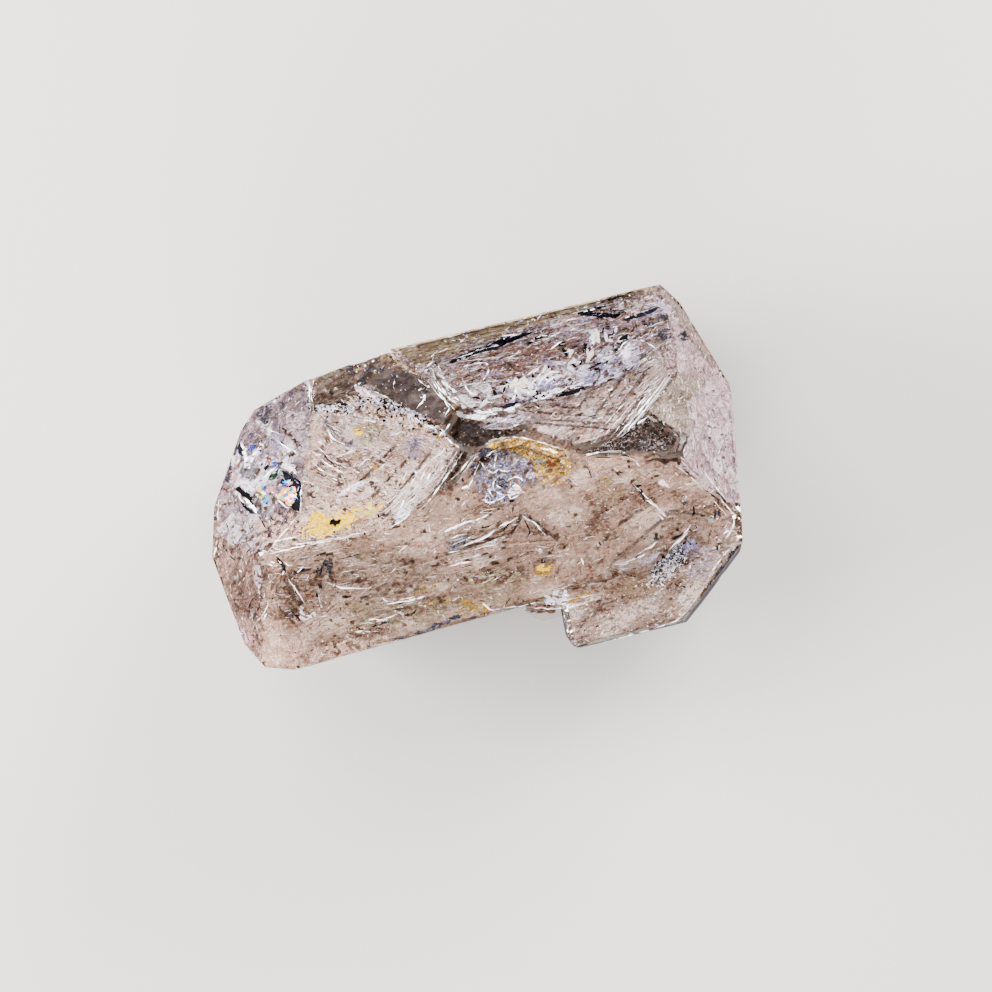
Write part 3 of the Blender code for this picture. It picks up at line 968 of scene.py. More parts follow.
class BodySettings(bpy.types.PropertyGroup):
    depth_colour: bpy.props.FloatVectorProperty(
        name="Depth colour", description="Colour that the quartz takes on with depth",
        subtype="COLOR", default=linear("#dccabf")[:3], min=0.0, max=1.0,
    )
    absorption: bpy.props.FloatProperty(
        name="Absorption", description="How fast light fades in the quartz, per metre",
        default=20.0, min=0.0,
    )
    edge_width: bpy.props.FloatProperty(
        name="Edge width", description="Width of the rounding along the crystal's edges",
        default=0.00010, unit="LENGTH", precision=5, min=0.0,
    )


class InsideSettings(bpy.types.PropertyGroup):
    veil_depth: bpy.props.FloatProperty(
        name="Veil depth", description="Depth of the growth veils under the surface",
        default=0.0009, unit="LENGTH", precision=5,
    )
    dust_count: bpy.props.IntProperty(
        name="Dust", description="Number of white specks under the surface",
        default=FULL_DUST, min=0,
    )
    seed: bpy.props.IntProperty(
        name="Seed", description="Start value of the random draws", default=7
    )


LIGHTS = [
    # name, place, size, power setting, share of that power
    ("key", (-0.20, 0.34, 0.34), (0.30, 0.22), "key_power", 1.0),
    ("right_panel", (0.28, 0.24, 0.09), (0.26, 0.14), "side_power", 1.0),
    ("left_panel", (-0.36, 0.08, 0.09), (0.28, 0.14), "side_power", 1.3),
    ("near_panel", (-0.12, -0.36, 0.09), (0.30, 0.12), "side_power", 0.7),
]
LIGHT_TARGET = Vector((0.0, 0.0, 0.01))


class QUARTZ_OT_stage(bpy.types.Operator):
    """Add the floor, the soft lights and the camera"""

    bl_idname = "quartz.stage"
    bl_label = "Stage"

    def execute(self, context):
        settings = context.scene.quartz_stage
        deselect_all()
        bpy.ops.mesh.primitive_plane_add(size=settings.floor_size, location=(0.0, 0.0, -0.0002))
        floor = context.object
        floor.name = "floor"
        floor.data.materials.append(floor_material(settings))
        # The photograph's surroundings are dark, so the steep faces don't mirror the floor.
        floor.visible_glossy = False
        world = bpy.data.worlds.new("soft_room")
        world.use_nodes = True
        background = world.node_tree.nodes["Background"]
        background.inputs["Color"].default_value = linear("#cfd3dc")
        background.inputs["Strength"].default_value = 0.30
        context.scene.world = world
        for name, place, size, power, share in LIGHTS:
            self.add_light(name, place, size, getattr(settings, power) * share)
        self.add_camera(context, settings)
        return {"FINISHED"}

    def add_light(self, name, place, size, power):
        light = bpy.data.lights.new(name, "AREA")
        light.shape = "RECTANGLE"
        light.size, light.size_y = size
        light.energy = power
        thing = add_thing(name, light)
        thing.location = place
        aim = LIGHT_TARGET - Vector(place)
        thing.rotation_euler = aim.to_track_quat("-Z", "Y").to_euler()
        thing.visible_camera = False
        thing.visible_glossy = name == "key"

    def add_camera(self, context, settings):
        """Straight above, turned so that the long axis rises as it does in the photograph."""
        camera = bpy.data.cameras.new("camera")
        camera.lens = settings.lens
        camera.sensor_width = SENSOR_WIDTH
        right = IMAGE_CENTRE_PIXEL[0] - AXES_PIXEL[0]
        down = IMAGE_CENTRE_PIXEL[1] - AXES_PIXEL[1]
        cosine, sine = math.cos(LONG_AXIS_TURN), math.sin(LONG_AXIS_TURN)
        x = (right * cosine - down * sine) * MM_PER_PIXEL
        y = (-right * sine - down * cosine) * MM_PER_PIXEL
        distance = IMAGE_PIXELS * MM_PER_PIXEL * settings.lens / SENSOR_WIDTH
        thing = add_thing("camera", camera)
        thing.location = frame_place(x, y, (OUTLINE_HEIGHT + distance) * MM)
        thing.rotation_euler = (0.0, 0.0, -LONG_AXIS_TURN)
        context.scene.camera = thing


class QUARTZ_OT_body(bpy.types.Operator):
    """Add the clear crystal, with its edges rounded"""

    bl_idname = "quartz.body"
    bl_label = "Clear crystal"

    def execute(self, context):
        settings = context.scene.quartz_body
        body = add_thing("clear_crystal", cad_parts[NODE].data.copy())
        bpy.ops.object.mode_set(mode="EDIT")
        bpy.ops.mesh.select_all(action="SELECT")
        bpy.ops.mesh.remove_doubles(threshold=1e-6)
        bpy.ops.mesh.dissolve_limited(angle_limit=math.radians(0.6))
        bpy.ops.object.mode_set(mode="OBJECT")
        bevel = body.modifiers.new("worn_edges", "BEVEL")
        bevel.width = settings.edge_width
        bevel.segments = 2
        bevel.limit_method = "ANGLE"
        bevel.angle_limit = math.radians(10.0)
        bevel.use_clamp_overlap = True
        bpy.ops.object.modifier_apply(modifier=bevel.name)
        # The CAD mesh brings stored normals that no longer fit the merged, bevelled faces.
        bpy.ops.mesh.customdata_custom_splitnormals_clear()
        bpy.ops.object.shade_flat()
        finish_piece(body, "clear_crystal", clear_quartz(settings))
        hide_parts(NODE)
        Crystal.read(body)
        return {"FINISHED"}


# Curves that growth lines follow, one set for each face.
WINDOW_GUIDES = [
    [(-4.0, 11.5), (1.2, 11.6), (6.5, 11.9), (12.7, 11.8), (18.3, 11.7)],
    [(-2.0, 9.2), (2.5, 9.5), (7.0, 10.0), (13.2, 10.3), (19.1, 10.4)],
    [(-0.7, 7.2), (3.6, 7.0), (7.9, 6.7), (14.2, 7.2), (19.3, 8.2)],
    [(0.1, 5.2), (4.8, 4.8), (9.2, 4.6), (14.0, 4.7), (18.5, 6.4)],
    [(1.1, 3.9), (5.3, 3.2), (9.8, 1.8), (13.8, 2.2), (18.2, 4.3)],
]
FRAME_GUIDES = [
    [(-11.0, 8.1), (-7.0, 6.4), (-3.1, 4.4), (-1.4, 2.5)],
    [(-12.4, 6.7), (-9.4, 3.8), (-6.2, 2.6), (-2.6, 1.3)],
    [(-13.7, 4.8), (-10.7, 2.1), (-7.2, 0.4), (-3.8, 0.0)],
    [(-14.5, 2.8), (-11.5, 0.3), (-8.0, -1.4), (-5.9, -1.5)],
]
FRAME_EDGE_GUIDES = [
    [(-0.9, 2.0), (-3.6, -0.8), (-6.0, -1.8), (-7.9, -2.6)],
    [(-2.5, 3.4), (-4.9, 0.9), (-7.3, -0.2), (-9.4, -1.5)],
    [(-4.8, 4.8), (-6.6, 2.7), (-8.7, 1.4), (-11.1, 0.2)],
]
NEAR_GUIDES = [
    [(-18.2, -2.3), (-12.7, -2.9), (-7.6, -3.2), (-2.3, -3.2), (3.0, -3.0), (10.1, -2.3)],
    [(-19.2, -4.4), (-13.4, -5.3), (-8.2, -5.7), (-2.1, -5.9), (4.1, -5.6), (14.6, -5.5)],
    [(-20.6, -7.1), (-14.0, -8.0), (-8.8, -8.2), (-1.9, -8.5), (5.0, -8.9), (17.4, -8.4)],
    [(-21.0, -10.2), (-15.6, -11.1), (-9.5, -11.1), (-2.4, -10.8), (4.4, -11.4), (15.6, -12.0)],
]
STACK_GUIDES = [
    [(11.8, 0.7), (13.2, 1.3), (14.7, 2.3), (16.3, 3.4), (17.7, 4.6)],
    [(12.8, 0.0), (14.0, 0.6), (15.2, 1.5), (16.8, 2.8), (18.3, 4.1)],
]

# Outlines of more veils. The first reaches all round the crystal.
WHOLE = [
    (-23.4, 0.2), (-20.4, 8.0), (-17.5, 10.4), (-5.3, 12.3), (19.2, 12.3), (23.4, 2.4),
    (22.6, -3.3), (21.0, -10.5), (17.8, -13.2), (14.0, -16.6), (9.2, -16.9), (5.0, -16.8),
    (4.1, -13.5), (0.8, -12.6), (-18.3, -13.1), (-22.2, -11.6), (-24.2, -6.0),
]
RIGHT_OUTER = [
    (18.9, 12.3), (19.6, 11.8), (21.4, 8.4), (23.4, 2.4), (22.9, -0.6), (21.9, 2.4), (20.9, 4.8),
    (19.6, 7.4), (18.9, 9.4), (18.3, 11.0),
]
RIGHT_LILAC = [(18.2, 10.8), (15.8, 9.4), (17.0, 9.3), (19.0, 9.2), (19.2, 9.9)]
RIGHT_OLIVE = [
    (14.9, 1.2), (18.2, 4.0), (19.1, 3.9), (20.3, 3.0), (19.4, 1.9), (18.2, 1.3), (17.8, -1.4),
    (17.0, -1.0),
]
RIGHT_CLOUD = [
    (20.6, 3.2), (22.2, 2.2), (22.8, -1.0), (22.2, -4.4), (21.4, -7.6), (20.2, -6.4),
    (18.8, -3.6), (18.2, -1.4), (18.6, 1.2),
]
WINDOW_TOP = [
    (-4.6, 12.2), (18.9, 12.2), (18.6, 11.3), (14.0, 11.4), (9.0, 10.9), (5.0, 11.0), (1.0, 10.4),
    (-3.2, 9.8),
]
WINDOW_BROWN = [
    (-1.0, 9.2), (1.4, 9.4), (5.0, 9.6), (9.6, 9.4), (13.2, 9.0), (12.6, 7.4), (9.6, 7.0),
    (5.6, 7.0), (2.0, 7.4), (-0.6, 7.0),
]
WINDOW_LOW = [
    (4.6, 4.5), (8.0, 4.4), (12.0, 4.6), (16.2, 5.6), (17.8, 4.4), (14.7, 1.2), (11.4, -0.4),
    (8.0, 0.4), (5.4, 2.2), (4.4, 3.2),
]
VEILS = [
    # name, outline, extra depth, tones, grain, turn, stretch, swirl, gaps, ripple, clouds
    ("veil_deep", WHOLE, 1.3, ("#5e4a3e", "#907662", "#c8aa98"),
     0.5, 8.0, 1.6, 1.0, 0.1, 0.1, 0.3),
    ("veil_window", WINDOW, 0.3, ("#4c3732", "#9a7e7e", "#fff0fc"),
     0.42, 6.0, 2.0, 2.0, 0.14, 0.14, 0.3),
    ("veil_window_top", WINDOW_TOP, 0.0, ("#54442f", "#8a7860", "#c0ae94"),
     0.3, 2.0, 2.4, 0.8, 0.06, 0.06, 0.5),
    ("veil_window_brown", WINDOW_BROWN, 0.0, ("#4a3229", "#8a695c", "#dcc0b8"),
     0.3, 8.0, 2.0, 1.4, 0.3, 0.08, 0.4),
    ("veil_window_low", WINDOW_LOW, -0.3, ("#6a5248", "#a68e86", "#ecdcdc"),
     0.26, 12.0, 2.2, 1.0, 0.1, 0.08, 0.4),
    ("veil_frame", FRAME_FACE, 0.0, ("#583f38", "#cbaca0", "#fffaf6"),
     0.28, -35.0, 1.8, 1.6, 0.06, 0.1, 0.3),
    ("veil_left_side", LEFT_SIDE, 0.0, ("#32241f", "#6c544c", "#be9f94"),
     0.3, 72.0, 1.8, 1.4, 0.06, 0.1, 0.35),
    ("veil_near", NEAR_FACE, 0.0, ("#5f473a", "#a68878", "#dfc6b8"),
     0.24, 4.0, 1.5, 0.6, 0.04, 0.04, 0.5),
    ("veil_side_crystal", SIDE_CRYSTAL, 0.0, ("#4b372e", "#9e8478", "#f8e4da"),
     0.24, 20.0, 1.5, 0.8, 0.04, 0.05, 0.5),
    ("veil_right_end", RIGHT_END, 0.0, ("#5c4448", "#c8a8ae", "#ffffff"),
     0.26, 70.0, 1.5, 1.4, 0.03, 0.05, 0.35),
    ("veil_right_outer", RIGHT_OUTER, -0.2, ("#54433e", "#92807a", "#c8b6b2"),
     0.3, 70.0, 1.5, 0.8, 0.0, 0.03, 0.4),
    ("veil_right_lilac", RIGHT_LILAC, -0.3, ("#5c4b58", "#a795a8", "#e6d8ee"),
     0.3, 30.0, 1.5, 0.8, 0.0, 0.03, 0.4),
    ("veil_right_olive", RIGHT_OLIVE, -0.2, ("#463a32", "#84746a", "#cabbae"),
     0.24, 50.0, 1.6, 1.2, 0.0, 0.04, 0.3),
    ("veil_right_cloud", RIGHT_CLOUD, -0.3, ("#745a60", "#d8bac2", "#ffffff"),
     0.24, 70.0, 1.4, 1.6, 0.08, 0.08, 0.3),
]
# These films are mottled in broken plates of tone, with seams between.
FACETTED = ("veil_right_end", "veil_right_cloud")
# Painted glows of some veils, as emission in place of reflected light.
VEIL_PAINTED_GLOWS = {"veil_frame": 0.1, "veil_right_end": 0.12, "veil_right_cloud": 0.15}


class QUARTZ_OT_veils(bpy.types.Operator):
    """Add the growth veils under the upper faces"""

    bl_idname = "quartz.veils"
    bl_label = "Growth veils"

    def execute(self, context):
        base_depth = context.scene.quartz_inside.veil_depth / MM
        for number, row in enumerate(VEILS):
            name, outline, deeper, tones, grain, turn, stretch, swirl, gaps, ripple, clouds = row
            dark, middle, light = tones
            material = inclusion_material(
                name + "_film",
                [(0.34, dark), (0.45, middle), (0.53, middle), (0.65, light)],
                grain,
                turn=math.radians(turn),
                stretch=stretch,
                clouds=(2.4, clouds),
                swirl=swirl,
                shards=(1.5, 0.16, "#8c7c80") if name in FACETTED else None,
                hues=(0.45, 0.5),
                painted_glow=VEIL_PAINTED_GLOWS.get(name, 0.0),
            )
            lace(
                name, outline, base_depth + deeper, material, turn=turn, grain=grain,
                stretch=stretch, open_share=gaps, seed=number * 3.1, reach=0.4, ripple=ripple,
                cell=COARSE_CELL if outline is WHOLE else FINE_CELL,
            )
        lace(
            "veil_left_end", LEFT_END, base_depth - 0.2, inclusion("shattered_quartz"),
            turn=30.0, grain=0.4, stretch=1.5, open_share=0.06, reach=0.4, ripple=0.2,
        )
        lace(
            "veil_centre", CENTRE_PATCH, 0.4, inclusion("bubbly_film"),
            turn=50.0, grain=0.35, stretch=1.8, open_share=0.25, ragged=0.7,
        )
        return {"FINISHED"}


FINISHES = {
    # name: (position, tone) stops, grain, stretch
    # Frosted crack walls scatter nearly all light.
    "white_frost": ([(0.36, "#5f5566"), (0.46, "#c9bccb"), (0.56, "#ffffff")], 0.3, 3.0),
    "lilac_frost": ([(0.34, "#2f2a44"), (0.46, "#8d83a8"), (0.62, "#f4ecff")], 0.3, 2.0),
    "grey_frost": ([(0.34, "#221e20"), (0.48, "#625a5d"), (0.64, "#cfc4c9")], 0.26, 1.5),
    # Brown clouds are thin smoky growth zones.
    "brown_cloud": ([(0.34, "#3c2c22"), (0.48, "#7c6554"), (0.62, "#b8a08e")], 0.3, 2.0),
    "olive_cloud": ([(0.34, "#54452c"), (0.48, "#8b7a60"), (0.62, "#c4b294")], 0.24, 1.6),
    "pink_cloud": ([(0.34, "#7e5c4e"), (0.48, "#be9a88"), (0.62, "#fadccc")], 0.2, 1.2),
}
PATCHES = [
    # name, outline, depth, finish, turn, gaps
    ("patch_window_white", WINDOW_WHITE, 0.25, "white_frost", 3.0, 0.42),
    ("patch_window_lilac", WINDOW_LILAC, 0.3, "lilac_frost", 20.0, 0.35),
    ("patch_near_brown", [(-17.4, -3.8), (-12.2, -3.9), (-8.2, -5.2), (-4.8, -7.4), (-8.8, -8.6),
     (-12.9, -7.6), (-16.2, -6.8)], 0.6, "brown_cloud", 5.0, 0.45),
    ("patch_near_low", [(-15.1, -9.8), (-13.1, -8.2), (-9.0, -9.0), (-4.9, -9.6), (-2.0, -11.0),
     (-9.5, -11.3)], 0.55, "olive_cloud", 3.0, 0.5),
    ("patch_near_mid", [(-4.0, -7.8), (1.5, -8.6), (2.8, -10.8), (-0.7, -11.2), (-3.9, -10.4)],
     0.6, "olive_cloud", 0.0, 0.55),
    ("patch_low_left", [(-19.8, -9.4), (-15.0, -11.0), (-9.6, -11.6), (-12.0, -12.6), (-19.0, -12.7)],
     0.5, "pink_cloud", 3.0, 0.4),
    ("patch_side_edge", [(-12.4, 8.6), (-13.2, 5.6), (-14.4, 3.0), (-13.4, 3.0), (-12.2, 5.4),
     (-11.4, 8.2)], 0.4, "pink_cloud", 70.0, 0.3),
    ("patch_frame_top", [(-11.6, 7.8), (-8.4, 8.6), (-5.6, 6.5), (-2.6, 4.4), (-1.4, 2.4), (-4.0, 3.4),
     (-7.4, 5.6)], 0.3, "pink_cloud", -38.0, 0.45),
    ("patch_frame_yellow", [(-10.0, 6.2), (-7.6, 6.6), (-5.2, 5.0), (-6.6, 4.0), (-9.2, 4.8)], 0.45,
     "olive_cloud", -30.0, 0.5),
    ("patch_left_white", [(-20.2, 6.4), (-18.0, 6.4), (-16.6, 5.4), (-15.2, 4.2), (-17.4, 2.9),
     (-19.2, 2.2), (-20.8, 3.4)], 0.3, "white_frost", 20.0, 0.4),
    ("patch_flake_grey", [(12.0, -11.8), (13.6, -10.6), (15.4, -9.8), (16.4, -9.8), (15.5, -11.3),
     (14.0, -12.6), (12.6, -12.8)], 0.45, "grey_frost", 30.0, 0.3),
    ("patch_left_pale", [(-18.6, 0.8), (-15.6, 0.2), (-16.4, -1.6), (-18.6, -1.8), (-20.0, -0.6)],
     0.4, "pink_cloud", 30.0, 0.35),
]


class QUARTZ_OT_patches(bpy.types.Operator):
    """Add the frosted, smoky and pinkish patches"""

    bl_idname = "quartz.patches"
    bl_label = "Patches"

    def execute(self, context):
        for number, (name, outline, depth, finish, turn, gaps) in enumerate(PATCHES):
            stops, grain, stretch = FINISHES[finish]
            title = f"{finish}_{turn:.0f}"
            material = bpy.data.materials.get(title) or inclusion_material(
                title, stops, grain, turn=math.radians(turn), stretch=stretch, swirl=1.2,
                # White frost carries a painted glow.
                painted_glow=0.35 if finish == "white_frost" else 0.0,
            )
            lace(
                name, outline, depth, material, cell=0.12, turn=turn, grain=grain * 1.6,
                stretch=stretch, open_share=gaps, ragged=0.35, seed=number * 1.7,
            )
        return {"FINISHED"}


PLATE_FINISHES = {
    # name: (dark, middle, light) tones of one kind of crack or flake in the quartz
    # Navy and black plates are painted shade, put where open gaps look dark.
    "navy": ("#020204", "#08080c", "#34344a"),
    "black": ("#010101", "#050404", "#24201e"),
    "slate": ("#100e12", "#2f2b32", "#7c7680"),
    "brown": ("#160d08", "#352319", "#6e5443"),
    "olive": ("#3a3628", "#6e6852", "#b0a88c"),
    "frost": ("#b3a8b8", "#f6effa", "#ffffff"),
    "pale": ("#6f6376", "#bfb0c0", "#fff8ff"),
    "cream": ("#c9bfa0", "#fbf3d8", "#ffffff"),
    "lilac": ("#4c4468", "#8f84ac", "#ece2ff"),
    "lavender": ("#443b4e", "#7d7288", "#cfc2d8"),
    "grey": ("#3a363c", "#77727a", "#c0bac2"),
    "aqua": ("#5c5e56", "#8d9086", "#c6c9bc"),
    "blue": ("#080b38", "#1f2a80", "#8f9ae8"),
    "green": ("#020d08", "#0c2a1a", "#3c6a50"),
    "rust": ("#2c1206", "#6a3618", "#b87848"),
    "ochre": ("#5c4008", "#a87c20", "#e8c878"),
    "tan": ("#5c4430", "#947a5e", "#cfba9c"),
    "yellow": ("#a08000", "#f0cc00", "#fff680"),
    "sun": ("#8a6a00", "#f4cc00", "#fff27c"),
    "paleyellow": ("#a09060", "#dccb90", "#fff6d8"),
    "pink": ("#7c4c50", "#c08a8e", "#ffd6d8"),
    "rose": ("#75626a", "#b8a0a8", "#fff0f4"),
}
# Painted glows of some plate finishes, as emission in place of reflected light.
PLATE_PAINTED_GLOWS = {"frost": 0.7, "pale": 0.3, "cream": 0.4, "sun": 0.45, "yellow": 0.4, "blue": 0.3}
BROKEN_PLATES = [
    # finish, outline, depth
    ("navy", [(-0.2, 9.7), (0.7, 10.0), (4.7, 10.6), (5.8, 10.7), (7.4, 10.5), (4.3, 9.9), (2.2, 9.8),
      (0.0, 9.5)], 0.12),
    ("navy", [(7.2, 10.0), (8.7, 10.1), (8.5, 9.9), (7.8, 9.8), (7.3, 9.8)], 0.1),
    ("navy", [(6.6, 9.8), (7.3, 9.8), (7.0, 9.6), (6.6, 9.6)], 0.1),
    ("black", [(9.0, 8.9), (9.5, 9.1), (10.1, 9.1), (9.8, 8.9), (9.2, 8.8)], 0.1),
    ("navy", [(11.4, 11.2), (13.0, 11.3), (13.9, 11.2), (12.6, 11.0), (15.1, 10.2), (14.5, 10.0),
      (11.7, 10.9)], 0.1),
    ("navy", [(15.0, 9.7), (18.5, 10.1), (17.7, 9.7), (17.0, 9.6), (15.4, 9.5)], 0.1),
    ("black", [(14.2, 11.7), (14.9, 11.8), (15.7, 11.7), (14.3, 11.5)], 0.1),
    ("black", [(5.9, 5.1), (6.4, 5.3), (7.4, 5.1), (6.2, 4.8)], 0.08),
    ("black", [(7.7, 4.6), (8.3, 4.8), (10.3, 4.9), (11.0, 4.8), (9.3, 4.5)], 0.08),
    ("navy", [(10.9, 6.3), (12.4, 6.7), (12.4, 6.5), (11.7, 6.3)], 0.08),
    ("navy", [(12.3, 6.3), (12.8, 6.6), (13.2, 6.7), (12.9, 6.4)], 0.08),
    ("navy", [(3.0, 4.9), (3.8, 5.0), (5.0, 5.0), (4.5, 4.8), (3.6, 4.6)], 0.08),
    ("navy", [(-19.6, 6.8), (-19.2, 7.4), (-19.0, 6.6), (-19.1, 6.0), (-19.5, 6.2)], 0.08),
    ("black", [(-17.6, 4.6), (-17.2, 4.8), (-17.1, 4.6), (-17.5, 4.3)], 0.05),
    ("navy", [(-16.1, 4.1), (-14.6, 2.6), (-14.9, 1.2), (-15.3, 0.2), (-15.8, 0.5), (-16.0, 1.2),
      (-15.4, 2.0), (-16.5, 3.0), (-16.0, 3.4)], 0.1),
    ("black", [(-20.4, 3.6), (-20.1, 3.6), (-19.1, 2.5), (-19.2, 2.2), (-19.9, 2.7), (-20.4, 3.3)], 0.03),
    ("black", [(-19.7, 2.6), (-19.3, 2.3), (-18.8, 1.2), (-19.2, 1.6)], 0.03),
    ("navy", [(-20.3, 2.5), (-19.2, 1.0), (-19.5, 1.0), (-20.1, 1.8)], 0.05),
    ("black", [(-9.0, -1.6), (-8.9, -1.4), (-8.8, -1.8), (-9.0, -1.8)], 0.0),
    ("black", [(1.0, 1.7), (1.5, 1.5), (2.7, 1.7), (1.6, 1.4)], 0.04),
    ("black", [(1.9, -3.0), (2.2, -2.9), (2.5, -3.1), (2.1, -3.1)], 0.02),
    ("black", [(-18.0, -3.0), (-17.8, -3.2), (-17.5, -3.8), (-17.6, -4.4), (-17.8, -4.5), (-17.8, -3.9),
      (-18.1, -3.4)], 0.05),
    ("navy", [(-15.3, -5.9), (-15.0, -6.2), (-15.0, -6.5), (-15.3, -6.4)], 0.05),
    ("black", [(1.9, -3.0), (2.2, -3.0), (2.4, -3.1), (2.1, -3.2)], 0.02),
    ("black", [(12.3, -4.3), (12.7, -4.2), (13.1, -4.3), (12.7, -4.5)], 0.02),
    ("black", [(12.8, -4.6), (13.0, -4.8), (13.1, -5.4), (13.0, -5.9)], 0.02),
    ("black", [(16.9, -7.0), (17.0, -7.3), (16.9, -7.7), (16.6, -8.0)], 0.04),
    ("navy", [(14.5, -9.3), (15.1, -9.2), (15.7, -9.1), (15.4, -9.3), (14.8, -9.5)], 0.05),
    ("black", [(-12.9, -1.1), (-12.6, -1.0), (-12.4, -1.2), (-12.0, -1.2), (-12.2, -1.5), (-12.5, -1.5),
      (-12.6, -1.7), (-12.8, -1.4), (-13.1, -1.4)], 0.0),
]
